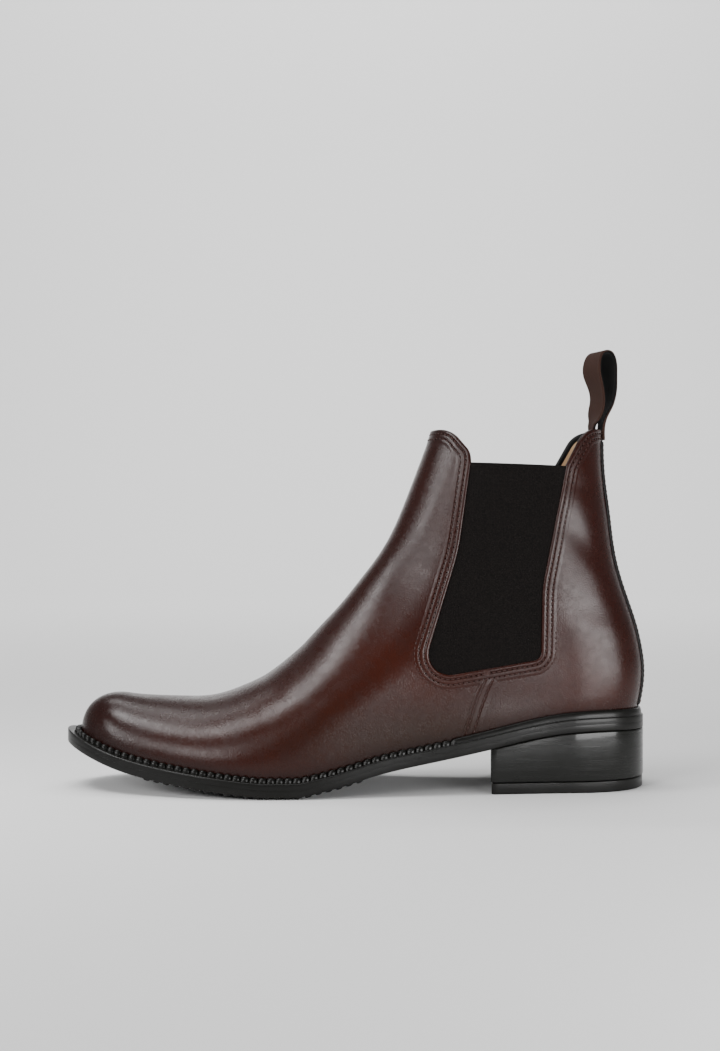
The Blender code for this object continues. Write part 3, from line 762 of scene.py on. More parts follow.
def make_leather():
    """Burnished leather: tones from point attributes and noise, cell grain as bump."""
    material, tree, shader = new_material("burnished leather", LEATHER_BROWN, LEATHER_ROUGHNESS, 0.225)
    vector = coordinates(tree)
    clouds = noise(tree, vector, 28.0, 4.0)
    mottle = noise(tree, vector, 240.0, 3.0)
    speckle = noise(tree, vector, 1500.0, 2.0)
    dark, red, olive = (
        node(tree, "ShaderNodeAttribute", attribute_name=name).outputs["Fac"]
        for name in ("burnish_and_painted_shade", "redness", "olive")
    )
    tone = blend_colour(tree, red, LEATHER_BROWN, LEATHER_RED)
    tone = blend_colour(tree, olive, tone, LEATHER_OLIVE)
    cloudy = combine(tree, "MULTIPLY", remap(tree, clouds, 0.35, 0.70), 0.35)
    tone = blend_colour(tree, cloudy, tone, LEATHER_DARK)
    # This darkening is burnish, plus painted shade along the sole.
    tone = blend_colour(tree, dark, tone, LEATHER_DARK)
    fine = combine(tree, "MULTIPLY", remap(tree, mottle, 0.40, 0.75), 0.22)
    tone = blend_colour(tree, fine, tone, LEATHER_DARK)
    tree.links.new(tone, shader.inputs["Base Color"])
    uneven = combine(tree, "ADD", remap(tree, mottle, 0.3, 0.7, -0.04, 0.05), LEATHER_ROUGHNESS)
    uneven = combine(tree, "ADD", uneven, remap(tree, clouds, 0.3, 0.7, -0.035, 0.035))
    tree.links.new(uneven, shader.inputs["Roughness"])
    cells = remap(tree, voronoi(tree, vector, 950.0), 0.0, 0.22)
    first = bump(tree, shader, cells, 0.00004, 0.50)
    second = bump(tree, shader, speckle, 0.00007, 0.6, first)
    bump(tree, shader, mottle, 0.00007, 0.4, second)
    return material


leather = make_leather()
print("leather:", leather.name)

# %% [markdown]
# The black leather of the back strip, which also serves as painted shade on the inner turn of
# the folded edge, the elastic, the tape, the thread, the lining and the rubber are simpler. Each
# still has the detail that the real stuff shows from a hand's width away: the elastic's fuzz,
# the tape's weave, the lining's pores and the rubber's dull polish.
# One plain colour each would be quicker, but then they would all look like plastic.

# %% Other materials


def make_black_leather_and_shade():
    """Black leather of the back strip, also laid on the inner turn of the folded edge as painted shade:
    small cells of grain, and a cloudy roughness.
    """
    material, tree, shader = new_material("black leather and painted shade", (0.0030, 0.0026, 0.0026), 0.40, 0.16)
    vector = coordinates(tree)
    grain = remap(tree, voronoi(tree, vector, 1100.0), 0.0, 0.25)
    bump(tree, shader, grain, 0.00004, 0.6)
    cloud = remap(tree, noise(tree, vector, 130.0), 0.3, 0.7, 0.36, 0.52)
    tree.links.new(cloud, shader.inputs["Roughness"])
    return material


def make_elastic():
    """Black elastic: knitted ribs with a dull fuzz, seen as a soft sheen."""
    material, tree, shader = new_material("ribbed elastic", (0.0042, 0.0034, 0.0032), 0.85, 0.08)
    fuzz_sheen = {"Sheen Weight": 0.015, "Sheen Roughness": 0.4, "Sheen Tint": (0.30, 0.24, 0.22, 1.0)}
    set_sockets(shader, fuzz_sheen)
    vector = coordinates(tree)
    fuzz = noise(tree, vector, 1800.0, 2.0)
    cross = bands(tree, vector, "Z", 260.0, 1.2, 1.0)
    # Painted shade and painted sheen: the fuzz's deep parts get the darker colour, its raised parts the
    # lighter one.
    deep, raised = (0.0022, 0.0018, 0.0017), (0.0070, 0.0055, 0.0050)
    tone = blend_colour(tree, remap(tree, fuzz, 0.35, 0.7), deep, raised)
    tree.links.new(tone, shader.inputs["Base Color"])
    first = bump(tree, shader, cross, 0.00010, 0.6)
    bump(tree, shader, fuzz, 0.00010, 0.7, first)
    return material


def make_webbing(name, base, light):
    """Woven tape: fine ribs along it and picks across it, from the strap's own UV in metres."""
    material, tree, shader = new_material(name, base, 0.80, 0.12)
    set_sockets(shader, {"Sheen Weight": 0.04, "Sheen Roughness": 0.4})
    vector = coordinates(tree, "UV")
    ribs = bands(tree, vector, "X", 330.0, 0.6)
    picks = bands(tree, vector, "DIAGONAL", 420.0, 0.8)
    fuzz = noise(tree, vector, 900.0, 3.0)
    woven = combine(tree, "MULTIPLY", ribs, picks)
    # Painted highlight and painted shade: the weave's raised threads take the lighter colour, its
    # hollows the base.
    tone = blend_colour(tree, woven, base, light)
    tone = blend_colour(tree, combine(tree, "MULTIPLY", fuzz, 0.4), tone, base)
    tree.links.new(tone, shader.inputs["Base Color"])
    first = bump(tree, shader, woven, 0.00018, 0.8)
    bump(tree, shader, fuzz, 0.00008, 0.5, first)
    return material


def make_lining():
    """Cream lining: soft hide with pores and cloudy tones."""
    material, tree, shader = new_material("cream lining", (0.40, 0.25, 0.14), 0.75, 0.25)
    vector = coordinates(tree)
    clouds = noise(tree, vector, 60.0, 3.0)
    pores = voronoi(tree, vector, 900.0, "F1")
    tone = blend_colour(tree, remap(tree, clouds, 0.3, 0.7), (0.44, 0.28, 0.16), (0.32, 0.20, 0.11))
    tree.links.new(tone, shader.inputs["Base Color"])
    bump(tree, shader, remap(tree, pores, 0.0, 0.5), 0.00006, 0.6)
    return material


def make_rubber(name, colour, roughness, polish):
    """Black rubber or lacquered stack: fine pits, and streaks along the edge as from a file."""
    material, tree, shader = new_material(name, colour, roughness, 0.16)
    set_sockets(shader, {"Coat Weight": polish, "Coat Roughness": 0.07})
    vector = coordinates(tree)
    streaks = noise(tree, coordinates(tree, scale=(45.0, 45.0, 650.0)), 1.0, 4.0)
    pits = noise(tree, vector, 1300.0, 2.0)
    clouds = noise(tree, vector, 45.0, 3.0)
    dusty = tuple(mix(value, 0.012, 0.30) for value in colour)
    tone = blend_colour(tree, remap(tree, clouds, 0.40, 0.75), colour, dusty)
    tree.links.new(tone, shader.inputs["Base Color"])
    uneven = combine(tree, "ADD", remap(tree, streaks, 0.3, 0.7, -0.06, 0.08), roughness)
    tree.links.new(uneven, shader.inputs["Roughness"])
    first = bump(tree, shader, streaks, 0.00010, 0.45)
    bump(tree, shader, pits, 0.00003, 0.5, first)
    return material


def make_thread():
    """Waxed thread: a dull brown with a trace of its strands."""
    material, tree, shader = new_material("waxed thread", (0.034, 0.0120, 0.0090), 0.50, 0.35)
    strands = noise(tree, coordinates(tree), 4000.0, 1.0)
    bump(tree, shader, strands, 0.00006, 0.7)
    return material


def make_needle_hole():
    """The shadow inside a needle's hole: nearly black, without gloss."""
    material, tree, shader = new_material("needle hole", (0.0012, 0.0006, 0.0005), 0.9, 0.0)
    # The painted shadow in the hole is a little uneven.
    uneven_shadow = noise(tree, coordinates(tree), 2500.0, 1.0)
    tone = blend_colour(tree, uneven_shadow, (0.0008, 0.0004, 0.0004), (0.0020, 0.0009, 0.0007))
    tree.links.new(tone, shader.inputs["Base Color"])
    return material


black_leather_and_shade = make_black_leather_and_shade()
elastic = make_elastic()
tape_brown = make_webbing("brown tape", (0.020, 0.0085, 0.0060), (0.058, 0.026, 0.018))
tape_painted_shade = make_webbing("tape painted black as shade", (0.0015, 0.0013, 0.0013), (0.0040, 0.0035, 0.0033))
lining = make_lining()
sole_rubber = make_rubber("sole rubber", (0.0040, 0.0038, 0.0032), 0.32, 0.05)
heel_polish = make_rubber("polished heel", (0.0030, 0.0031, 0.0023), 0.24, 0.20)
thread = make_thread()
needle_hole = make_needle_hole()
print("materials:", len(bpy.data.materials))

# %% [markdown]
# Leather that has been worn or pressed is never even. The boot's main creases and dents are
# placed one by one, as soft troughs and ridges: a shallow hollow behind the elastic, the break
# across the vamp, and the pinch of the counter above the heel. They could be sculpted, but
# numbers can be changed later. Each is a stretched bell curve: the depth times exp of minus
# the squared distances along and across it.

# %% Soft creases of the leather
CREASES = table(
    "station height length width turn  depth_mm",
    (0.034, 0.122, 0.016, 0.006, 0.90, -0.55),
    (0.026, 0.106, 0.015, 0.006, 0.75, 0.35),
    (0.032, 0.087, 0.018, 0.007, 0.55, -0.45),
    (0.020, 0.078, 0.014, 0.006, 0.25, 0.30),
    (0.030, 0.145, 0.012, 0.005, 0.50, -0.30),
    (0.110, 0.116, 0.024, 0.006, -1.10, -0.35),
    (0.104, 0.134, 0.020, 0.005, -1.20, 0.25),
    (0.122, 0.094, 0.022, 0.008, -0.85, -0.30),
    (0.176, 0.048, 0.020, 0.006, 0.35, -0.30),
    (0.188, 0.041, 0.022, 0.005, 0.25, -0.28),
    (0.204, 0.036, 0.020, 0.006, 0.10, -0.22),
    (0.150, 0.052, 0.024, 0.010, -0.55, 0.30),
    (0.070, 0.046, 0.026, 0.008, 0.05, -0.25),
)
INNER_SHIFT = 0.006
INNER_STRENGTH = 0.8
TOE_DARK_FROM = 0.222
REAR_DARK_TO = 0.030
COLLAR_DARK_FROM = 0.150


def creases(side, station, height):
    """Sum of stretched bell curves, a little weaker and shifted on the inner side."""
    shift = 0.0 if side < 0 else INNER_SHIFT
    strength = 1.0 if side < 0 else INNER_STRENGTH
    total = np.zeros(np.shape(station))
    for at, high, length, width, turn, depth in zip(*CREASES.values()):
        along = (station - at - shift) * math.cos(turn) + (height - high) * math.sin(turn)
        over = (height - high) * math.cos(turn) - (station - at - shift) * math.sin(turn)
        total += depth / 1000 * strength * np.exp(-((along / length) ** 2) - (over / width) ** 2)
    return total


def burnish_and_painted_shade(station, height):
    """How dark the leather is: burnished at the toe, the rear and the top line, darker along the ridge,
    and painted shade along the sole.
    """
    above = height - feather(station)
    toe = ease((station - TOE_DARK_FROM) / 0.060) * 0.75
    rear = ease((REAR_DARK_TO - station) / 0.030) * 0.50
    # Painted shade: a dark band on the leather just above the welt.
    low = np.exp(-((above / 0.005) ** 2)) * 0.75
    top = np.exp(-((ridge_distance(station, height) / 0.012) ** 2)) * 0.45
    collar = ease((height - COLLAR_DARK_FROM) / 0.03) * 0.35
    return np.clip(1 - (1 - toe) * (1 - rear) * (1 - low) * (1 - top) * (1 - collar), 0, 1)


REDNESS = table(
    "station height long   tall   share",
    (0.120, 0.058, 0.038, 0.028, 0.80),
    (0.185, 0.030, 0.040, 0.022, 0.45),
    (0.020, 0.055, 0.030, 0.022, 0.75),
)
OLIVE = table(
    "station height long   tall   share",
    (0.105, 0.024, 0.055, 0.018, 0.75),
)


def stain(spots, station, height):
    """Where another tone shows through: a sum of bell curves, one for each spot."""
    total = np.zeros(np.shape(station))
    for at, high, long, tall, share in zip(*spots.values()):
        total += share * np.exp(-(((station - at) / long) ** 2) - ((height - high) / tall) ** 2)
    return np.clip(total, 0, 1)


def tint(piece):
    """Write the three tones as attributes, read from where each point of the mesh lies."""
    mesh = piece.data
    where = np.empty(len(mesh.vertices) * 3, dtype=np.float32)
    mesh.vertices.foreach_get("co", where)
    where = where.reshape(-1, 3).astype(float)
    station = MIDDLE - where[:, 0]
    height = where[:, 2]
    tones = {
        "burnish_and_painted_shade": burnish_and_painted_shade(station, height),
        "redness": stain(REDNESS, station, height),
        "olive": stain(OLIVE, station, height),
    }
    for name, values in tones.items():
        layer = mesh.attributes.new(name, "FLOAT", "POINT")
        layer.data.foreach_set("value", values.astype(np.float32))


print("creases placed by hand:", len(CREASES["station"]))

# %% [markdown]
# The upper is one shell with a real wall. Its outer skin is a closed ring of points at each
# level: the outer side from the back to the front, and the inner side back again. The rings
# are spread over the side view as a Coons patch, which fills four border curves smoothly. The
# inner skin is the outer one moved in by the wall's thickness. Modelling the shell with a
# Solidify modifier would do the same, but arrays give both skins their own materials. The
# mouth and the two side openings are then cut with one prism, as a maker cuts them with a
# knife.

# %% Outline of the mouth and the side openings


def fillet_loop(corners, radii, steps=10):
    """A closed loop through corners, each rounded to its radius by an arc."""
    points = []
    for here, corner in enumerate(corners):
        if radii[here] == 0:
            points.append(corner)
            continue
        before = corners[here - 1] - corner
        after = corners[(here + 1) % len(corners)] - corner
        before = before / np.linalg.norm(before)
        after = after / np.linalg.norm(after)
        half = np.arccos(np.clip(before @ after, -1, 1)) / 2
        middle = (before + after) / np.linalg.norm(before + after)
        centre = corner + middle * radii[here] / np.sin(half)
        start = corner + before * radii[here] / np.tan(half) - centre
        end = corner + after * radii[here] / np.tan(half) - centre
        sweep = np.arctan2(start[0] * end[1] - start[1] * end[0], start @ end)
        turn = np.linspace(0, sweep, steps + 1)[:, None]
        aside = np.array([-start[1], start[0]])
        points.extend(centre + start * np.cos(turn) + aside * np.sin(turn))
    return np.array(points)


def gore_corners():
    """Corners and radii of the side opening in the side view."""
    station = GORE_AT + GORE["along"] * GORE_WIDTH
    height = GORE_TOP - GORE["down"] * GORE_HEIGHT
    return np.stack([station, height], axis=-1), GORE["round"] * GORE_CORNER


def lobe_corners(lobe, collar):
    """Corners and radii of the collar line in front of the opening or behind it."""
    station = GORE_AT + lobe["along"] * GORE_WIDTH
    height = mix(GORE_TOP, collar, lobe["up"])
    return np.stack([station, height], axis=-1), lobe["round"] * GORE_CORNER


def edge_corners():
    """Corners and radii of the leather's edge in the side view, from front to back."""
    front, front_round = lobe_corners(COLLAR_FRONT_LOBE, COLLAR_FRONT)
    gore, gore_round = gore_corners()
    rear, rear_round = lobe_corners(COLLAR_REAR_LOBE, COLLAR_REAR)
    return np.concatenate([front, gore, rear]), np.concatenate([front_round, gore_round, rear_round])


def opening_loop():
    """The space above the collar and the side openings, as one loop of the side view."""
    corners, radii = edge_corners()
    top = COLLAR_REAR + LOOP_HEIGHT
    ends = np.array([[corners[-1, 0], top], [corners[0, 0], top]])
    return fillet_loop(np.concatenate([corners, ends]), np.append(radii, [0, 0]))


print("points of the opening:", len(opening_loop()))

# %% Shell of the upper
SHELL_RINGS = 150
SHELL_COLUMNS = 178
LINING_RINGS = 60
RING_CROWDING = 1.30
BLANK_MARGIN = 0.004
CUT_REACH = 0.100


def side_grid(share_along, share_up):
    """Side-view points between back, feather line, ridge and blank's top, as a Coons patch."""
    top = max(COLLAR_REAR, COLLAR_FRONT) + BLANK_MARGIN
    shin, shin_length = shin_line()
    reach = np.interp(top, shin[:, 1], shin_length) * share_up
    rear = back(SEAT)
    station = rear + (TOE_TIP - rear) * share_along
    bottom = np.stack([station, feather(station) + GAP], axis=-1)
    height = mix(bottom[0, 1], top, share_up)
    left = np.stack([back(height), height], axis=-1)
    right = resample(ridge_line(), reach)
    station = mix(left[-1, 0], right[-1, 0], share_along)
    upper = np.stack([station, np.full_like(station, top)], axis=-1)
    left[0] = bottom[0]
    right[0] = bottom[-1]
    along = share_along[None, :, None]
    up = share_up[:, None, None]
    ruled = mix(bottom[None], upper[None], up) + mix(left[:, None], right[:, None], along)
    return ruled - mix(mix(bottom[0], bottom[-1], along), mix(upper[0], upper[-1], along), up)


def round_boot(station, height):
    """Points of both sides as closed rings along the first axis, and the creases there."""
    sides = []
    relief = []
    for side in (LATERAL, MEDIAL):
        sideways = across(side, station, height)
        for end in (0, -1):
            sideways[end] = foot("centre", station[end]) * BALL_WIDTH
        sides.append(place(station, sideways, height))
        relief.append(creases(side, station, height))
    return tuple(np.concatenate([outer, inner[-2:0:-1]]) for outer, inner in (sides, relief))


def upper_rings(rings, columns):
    """Closed rings of points round the upper, with the height of the creases at each point."""
    share_up = np.linspace(0, 1, rings) ** RING_CROWDING
    grid = side_grid(cosine_steps(columns), share_up)
    points, relief = round_boot(grid[..., 0].T, grid[..., 1].T)
    return np.swapaxes(points, 0, 1), relief.T


def make_upper():
    """Outer skin, inner skin and the cut for mouth and side openings."""
    outside, relief = upper_rings(SHELL_RINGS, SHELL_COLUMNS)
    normal = grid_normals(outside, wrap_columns=True)
    rows = np.linspace(0, SHELL_RINGS - 1, LINING_RINGS).round().astype(int)
    inside = (outside - normal * UPPER_WALL)[rows]
    outside = outside + normal * relief[..., None]
    points = np.concatenate([outside, inside[::-1]])
    quads = grid_quads(*points.shape[:2], wrap_rows=True, wrap_columns=True)
    row = quads[:, 0] // points.shape[1]
    groups = ((row >= SHELL_RINGS) & (row < len(points) - 1)).astype(int)
    upper = make_piece("upper_leather", points, quads, [leather, lining], groups)
    cut_piece(upper, opening_loop(), -CUT_REACH, CUT_REACH, "DIFFERENCE")
    sharpen(upper, 42)
    tint(upper)
    finish_piece(upper, ["upper"])


make_upper()

# %% [markdown]
# A cut edge of leather is never left raw here. It is folded over and held by rows of stitches,
# which pull the leather down, so that it swells between them. A curve with a bevel would give
# a pipe, so the roll is worked out on the upper's own surface: one profile carried
# round the mouth and both openings: across it, the distance from the edge and the lift above
# the skin. The path is one closed line in space: from the front ridge along the outer
# opening to the back, and along the inner opening to the front again.

# %% Path of the folded edge
EDGE_STEP = 0.0009
EDGE_SAMPLES = 3000
END_BLEND = 0.014
SOFTENING = 4


def edge_side_line():
    """The edge in the side view, from the front ridge to the back, cut off at both."""
    line = fillet_loop(*edge_corners())
    line = resample(line, np.linspace(0, lengths(line)[-1], EDGE_SAMPLES))
    behind_ridge = ridge_station(line[:, 1]) - line[:, 0]
    before_back = line[:, 0] - back(line[:, 1])
    first = np.argmax(behind_ridge > 0)
    last = len(line) - np.argmax(before_back[::-1] > 0)
    return line[first:last]


def even_edge():
    """The edge's side-view line at even steps of its length in space, and its normals."""
    line = edge_side_line()
    fine = resample(line, cosine_steps(2 * EDGE_SAMPLES) * lengths(line)[-1])
    fine[0, 0] = ridge_station(fine[0, 1])
    fine[-1, 0] = back(fine[-1, 1])
    along = lengths(place(fine[:, 0], across(LATERAL, fine[:, 0], fine[:, 1]), fine[:, 1]))
    stops = np.linspace(0, along[-1], int(along[-1] / EDGE_STEP))
    even = read_along(fine, along, stops)
    weight = np.hanning(2 * SOFTENING + 3)[1:-1]
    weight = weight / weight.sum()
    padded = np.pad(even, ((SOFTENING, SOFTENING), (0, 0)), "edge")
    forward = np.gradient(padded, axis=0)
    forward = np.stack([np.convolve(column, weight, "same") for column in forward.T], axis=-1)
    forward = forward[SOFTENING:-SOFTENING]
    forward = forward / np.maximum(np.linalg.norm(forward, axis=1, keepdims=True), TINY)
    outward = np.stack([forward[:, 1], -forward[:, 0]], axis=-1)
    middle = np.argmin(even[:, 1])
    outward = outward * np.sign(-outward[middle, 1])
    return even, outward, stops


EDGE_LINE, EDGE_NORMAL, EDGE_STOPS = even_edge()


def edge_points(distance):
    """Side-view points at a distance from the edge, kept on the ridge and on the back line."""
    shape = np.shape(distance)
    distance = np.reshape(distance, (1, -1))
    station = EDGE_LINE[:, :1] + EDGE_NORMAL[:, :1] * distance
    height = EDGE_LINE[:, 1:] + EDGE_NORMAL[:, 1:] * distance
    from_front = np.clip(1 - EDGE_STOPS[:, None] / END_BLEND, 0, 1) ** 2
    from_back = np.clip(1 - (EDGE_STOPS[-1] - EDGE_STOPS[:, None]) / END_BLEND, 0, 1) ** 2
    front_miss = ridge_station(height[:1]) - station[:1]
    back_miss = back(height[-1:]) - station[-1:]
    station = station + from_front * front_miss + from_back * back_miss
    return station.reshape(-1, *shape), height.reshape(-1, *shape)


def closed_edge(distance):
    """Points in space at distances from the edge, right round the boot, and their creases."""
    return round_boot(*edge_points(distance))


print("edge columns a side:", len(EDGE_STOPS), "length mm:", round(EDGE_STOPS[-1] * 1000, 1))

# %% Folded edge of the leather
EDGE_PROFILE = table(
    "from_edge lift",
    (0.0074, -0.00012),
    (0.0064, 0.00004),
    (0.0056, 0.00014),
    (0.0050, 0.00014),
    (0.0044, 0.00004),
    (0.0039, 0.00017),
    (0.0031, 0.00024),
    (0.0024, 0.00020),
    (0.0019, 0.00006),
    (0.0015, 0.00024),
    (0.0009, 0.00040),
    (0.0003, 0.00034),
    (-0.00015, 0.00008),
    (-0.00028, -0.00060),
    (-0.00020, -0.00150),
    (0.0002, -0.00225),
    (0.0008, -0.00250),
    (0.0015, -0.00242),
    (0.0023, -0.00215),
)
EDGE_PROFILE_ROWS = 56
FIRST_SHADED_TURN_ROW = 40
HIDDEN = table(
    "from_edge lift",
    (0.0032, -0.00180),
    (0.0008, -0.00160),
    (0.0006, -0.00060),
    (0.0040, -0.00050),
    (0.0072, -0.00040),
)


BOOT_CORE = np.array([MIDDLE - 0.06, 0.0, 0.10])
LEVEL_STEP = 0.0010
LEVELS = 9


def profile_rows(profile, rows):
    """A profile's table as many rows, by splines over its length."""
    return spline_chain(np.stack([profile["from_edge"], profile["lift"]], axis=-1), rows)[0]


def edge_levels(distances):
    """Points at distances from the edge, right round the boot, and normals of their surface."""
    level, _ = closed_edge(distances)
    normal = grid_normals(np.swapaxes(level, 0, 1), wrap_columns=True)
    return level, np.swapaxes(normal, 0, 1)


def turned_outwards(normal, points):
    """Normals, turned so that they point away from the core of the boot."""
    return normal * np.sign((normal * (points - BOOT_CORE)).sum(axis=-1, keepdims=True))


def make_folded_edge():
    """The profile carried round the closed path, closed inside the wall where nobody looks."""
    shown = profile_rows(EDGE_PROFILE, EDGE_PROFILE_ROWS)
    hidden = np.stack([HIDDEN["from_edge"], HIDDEN["lift"]], axis=-1)
    profile = np.concatenate([shown, hidden])
    base, relief = closed_edge(profile[:, 0])
    _, normal = edge_levels(LEVEL_STEP * (np.arange(LEVELS) - 0.5))
    level = np.clip(profile[:, 0] / LEVEL_STEP + 0.5, 0, LEVELS - 1.001)
    low = level.astype(int)
    normal = mix(normal[:, low], normal[:, low + 1], (level - low)[None, :, None])
    normal = turned_outwards(normal, base)
    points = base + normal * (relief + profile[:, 1])[..., None]
    quads = grid_quads(*points.shape[:2], wrap_rows=True, wrap_columns=True)
    column = quads[:, 0] % points.shape[1]
    # Painted shade: the fold's lip and inner turn take the black leather, though they are the upper's
    # brown leather.
    shaded_turn = (column >= FIRST_SHADED_TURN_ROW) & (column < EDGE_PROFILE_ROWS)
    edge = make_piece("folded_edge", points, quads, [leather, black_leather_and_shade], shaded_turn.astype(int))
    tint(edge)
    finish_piece(edge)


make_folded_edge()

# %% [markdown]
# A stitch is a short, fat piece of thread that dips into the leather at both ends. Hundreds
# of them could be made with Geometry Nodes, but one small lens shape with a few dozen faces,
# copied by adding arrays, is just as quick and stays one plain mesh. The needle's holes are
# the same shape again, shorter and dark, half a pitch on and sunk into the leather.

# %% Stitches
STITCH_PITCH = 0.00250
STITCH_LENGTH = 0.00175
STITCH_RADIUS = 0.00027
STITCH_DIP = 0.00022
HOLE_LENGTH = 0.00085
HOLE_RADIUS = 0.00042
HOLE_SINK = 0.00030
STITCH_SIDES = 6
STITCH_RINGS = 6
STITCH_CAP = np.array([[0, 1, 2, 3], [0, 3, 4, 5]])


def stitch_mesh(starts, ends, outward, radius=STITCH_RADIUS):
    """Thread between pairs of points: radius times a rounded sine, arched over its middle."""
    along = np.linspace(0, 1, STITCH_RINGS)
    fat = np.maximum(np.sqrt(1 - (2 * along - 1) ** 4), 0.08)
    arch = np.sin(np.pi * along) - 1
    turn = np.arange(STITCH_SIDES) * 2 * np.pi / STITCH_SIDES
    axis = ends - starts
    axis = axis / np.linalg.norm(axis, axis=1, keepdims=True)
    side = np.cross(axis, outward)
    side = side / np.linalg.norm(side, axis=1, keepdims=True)
    up = np.cross(side, axis)
    line = starts[:, None] + (ends - starts)[:, None] * along[None, :, None]
    line = line + up[:, None] * (arch * STITCH_DIP)[None, :, None]
    ring = side[:, None, None] * np.cos(turn)[None, None, :, None]
    ring = ring + up[:, None, None] * np.sin(turn)[None, None, :, None]
    points = line[:, :, None] + ring * (fat * radius)[None, :, None, None]
    one = grid_quads(STITCH_RINGS, STITCH_SIDES, wrap_columns=True)
    last_ring = (STITCH_RINGS - 1) * STITCH_SIDES
    one = np.concatenate([one, STITCH_CAP[:, ::-1], STITCH_CAP + last_ring])
    per = STITCH_RINGS * STITCH_SIDES
    quads = (one[None] + np.arange(len(points))[:, None, None] * per).reshape(-1, 4)
    return points.reshape(-1, 3), quads


def stitch_row(path, outward, closed=False, length=STITCH_LENGTH, radius=STITCH_RADIUS, shift=0.0):
    """Evenly spaced stitches along a path in space, moved along it by a share of their pitch."""
    if closed:
        path = np.concatenate([path, path[:1]])
        outward = np.concatenate([outward, outward[:1]])
    along = lengths(path)
    count = max(1, int(along[-1] / STITCH_PITCH))
    pitch = along[-1] / count
    start = (np.arange(count) + shift) * pitch + (pitch - length) / 2
    pick = [resample(path, start), resample(path, start + length)]
    middle = start + length / 2
    return stitch_mesh(*pick, read_along(outward, along, middle), radius)


def hole_row(path, outward, closed=False):
    """The needle's holes between the stitches, as small dark lenses in the leather."""
    low = path - outward * HOLE_SINK
    return stitch_row(low, outward, closed, HOLE_LENGTH, HOLE_RADIUS, 0.5 if closed else 0.0)


def join_meshes(parts):
    """Several sets of points and quads as one."""
    points = []
    quads = []
    total = 0
    for some_points, some_quads in parts:
        points.append(some_points)
        quads.append(some_quads + total)
        total += len(some_points)
    return np.concatenate(points), np.concatenate(quads)


ROWS_ROUND = ((0.0019, 0.00016), (0.0044, 0.00014))
LOW_ROW = 0.0066
LOW_ROW_BELOW = GORE_TOP - GORE_HEIGHT * 0.80
THREAD_LIFT = 0.00012
NORMAL_STEP = 0.0006


def edge_path(distance, lift=0.0):
    """A path for stitches at one distance from the edge, and the normals along it."""
    path, relief = closed_edge(np.array([distance]))
    level, normal = edge_levels(distance + NORMAL_STEP * np.array([-1, 0, 1]))
    normal = turned_outwards(normal[:, 1], level[:, 1])
    return path[:, 0] + normal * (relief[:, 0] + lift + THREAD_LIFT)[:, None], normal


def edge_stitches():
    """Two rows right round the edge, and a third round the bottom of each opening."""
    parts = []
    holes = []
    for distance, lift in ROWS_ROUND:
        line, normal = edge_path(distance, lift)
        parts.append(stitch_row(line, normal, closed=True))
        holes.append(hole_row(line, normal, closed=True))
    half = len(EDGE_STOPS)
    low = EDGE_LINE[:, 1] < LOW_ROW_BELOW
    keep = np.concatenate([low, low[-2:0:-1]])
    line, normal = edge_path(LOW_ROW)
    for one_side in (slice(0, half), slice(half, None)):
        chosen = keep[one_side]
        parts.append(stitch_row(line[one_side][chosen], normal[one_side][chosen]))
        holes.append(hole_row(line[one_side][chosen], normal[one_side][chosen]))
    return join_meshes(parts), join_meshes(holes)


def finish_stitches(name, threads, holes):
    """The pieces of one seam: its threads, and its needle holes."""
    finish_piece(make_piece(f"{name}_stitches", *threads, [thread]))
    finish_piece(make_piece(f"{name}_needle_holes", *holes, [needle_hole]))


finish_stitches("edge", *edge_stitches())

# %% [markdown]
# Under each opening the rear panel laps over the front one. The lap shows as a low step with
# a folded edge and two rows of stitches, from the opening down to the welt, and a short bar
# tack across its top. A curve with a bevel could draw the step, but it would have no flat
# side. So it is a narrow patch that follows the last: a profile across the seam, carried
# down a slightly slanted line, and sunk into the skin on its other side.

# %% Side seams
SEAM_TOP = (0.0787, 0.0560)
SEAM_LOW = (0.0893, 0.0255)
SEAM_BOW = 0.0008
SEAM_PROFILE = table(
    "from_edge lift",
    (-0.0072, -0.00012),
    (-0.0058, 0.00004),
    (-0.0046, 0.00020),
    (-0.0036, 0.00024),
    (-0.0030, 0.00006),
    (-0.0023, 0.00034),
    (-0.0010, 0.00046),
    (0.0002, 0.00034),
    (0.0007, 0.00008),
    (0.0013, 0.00040),
    (0.0019, 0.00050),
    (0.0023, 0.00030),
    (0.0025, -0.00012),
)
SEAM_ROWS = (-0.0030, 0.0007)
TACK_AT = (0.0792, 0.0570)
TACK_WIDTH = 0.0034
TACK_STITCHES = 5
TACK_SPACING = 1.7 * STITCH_RADIUS
TACK_LIFT = 0.00048
SEAM_THREAD_LIFT = 0.00022
SEAM_THICKNESS = 0.0005
SKIN_STEP = 1e-4
SEAM_STATIONS = 48
SEAM_PROFILE_ROWS = 44


def seam_centre(share):
    """The seam's line in the side view: a straight line with a slight bow."""
    top, low = np.array(SEAM_TOP), np.array(SEAM_LOW)
    line = top + (low - top) * share[..., None]
    return line + np.array([SEAM_BOW, 0.0]) * np.sin(np.pi * share)[..., None]


def skin(side, station, height, lift=0.0):
    """Points on the last's skin, creases included, lifted along its normal.

    The normal of y = f(s, z) is (df/ds, 1, -df/dz) in this frame, by small differences.
    """
    wide = across(side, station, height)

    def slope(aside, upwards):
        """How fast the last widens in one direction of the side view."""
        ahead = across(side, station + aside, height + upwards)
        return (ahead - across(side, station - aside, height - upwards)) / (2 * SKIN_STEP)

    normal = np.stack([slope(SKIN_STEP, 0), np.ones_like(wide), -slope(0, SKIN_STEP)], axis=-1) * side
    normal = normal / np.linalg.norm(normal, axis=-1, keepdims=True)
    lifted = np.asarray(lift) + creases(side, station, height)
    return place(station, wide, height) + normal * lifted[..., None], normal


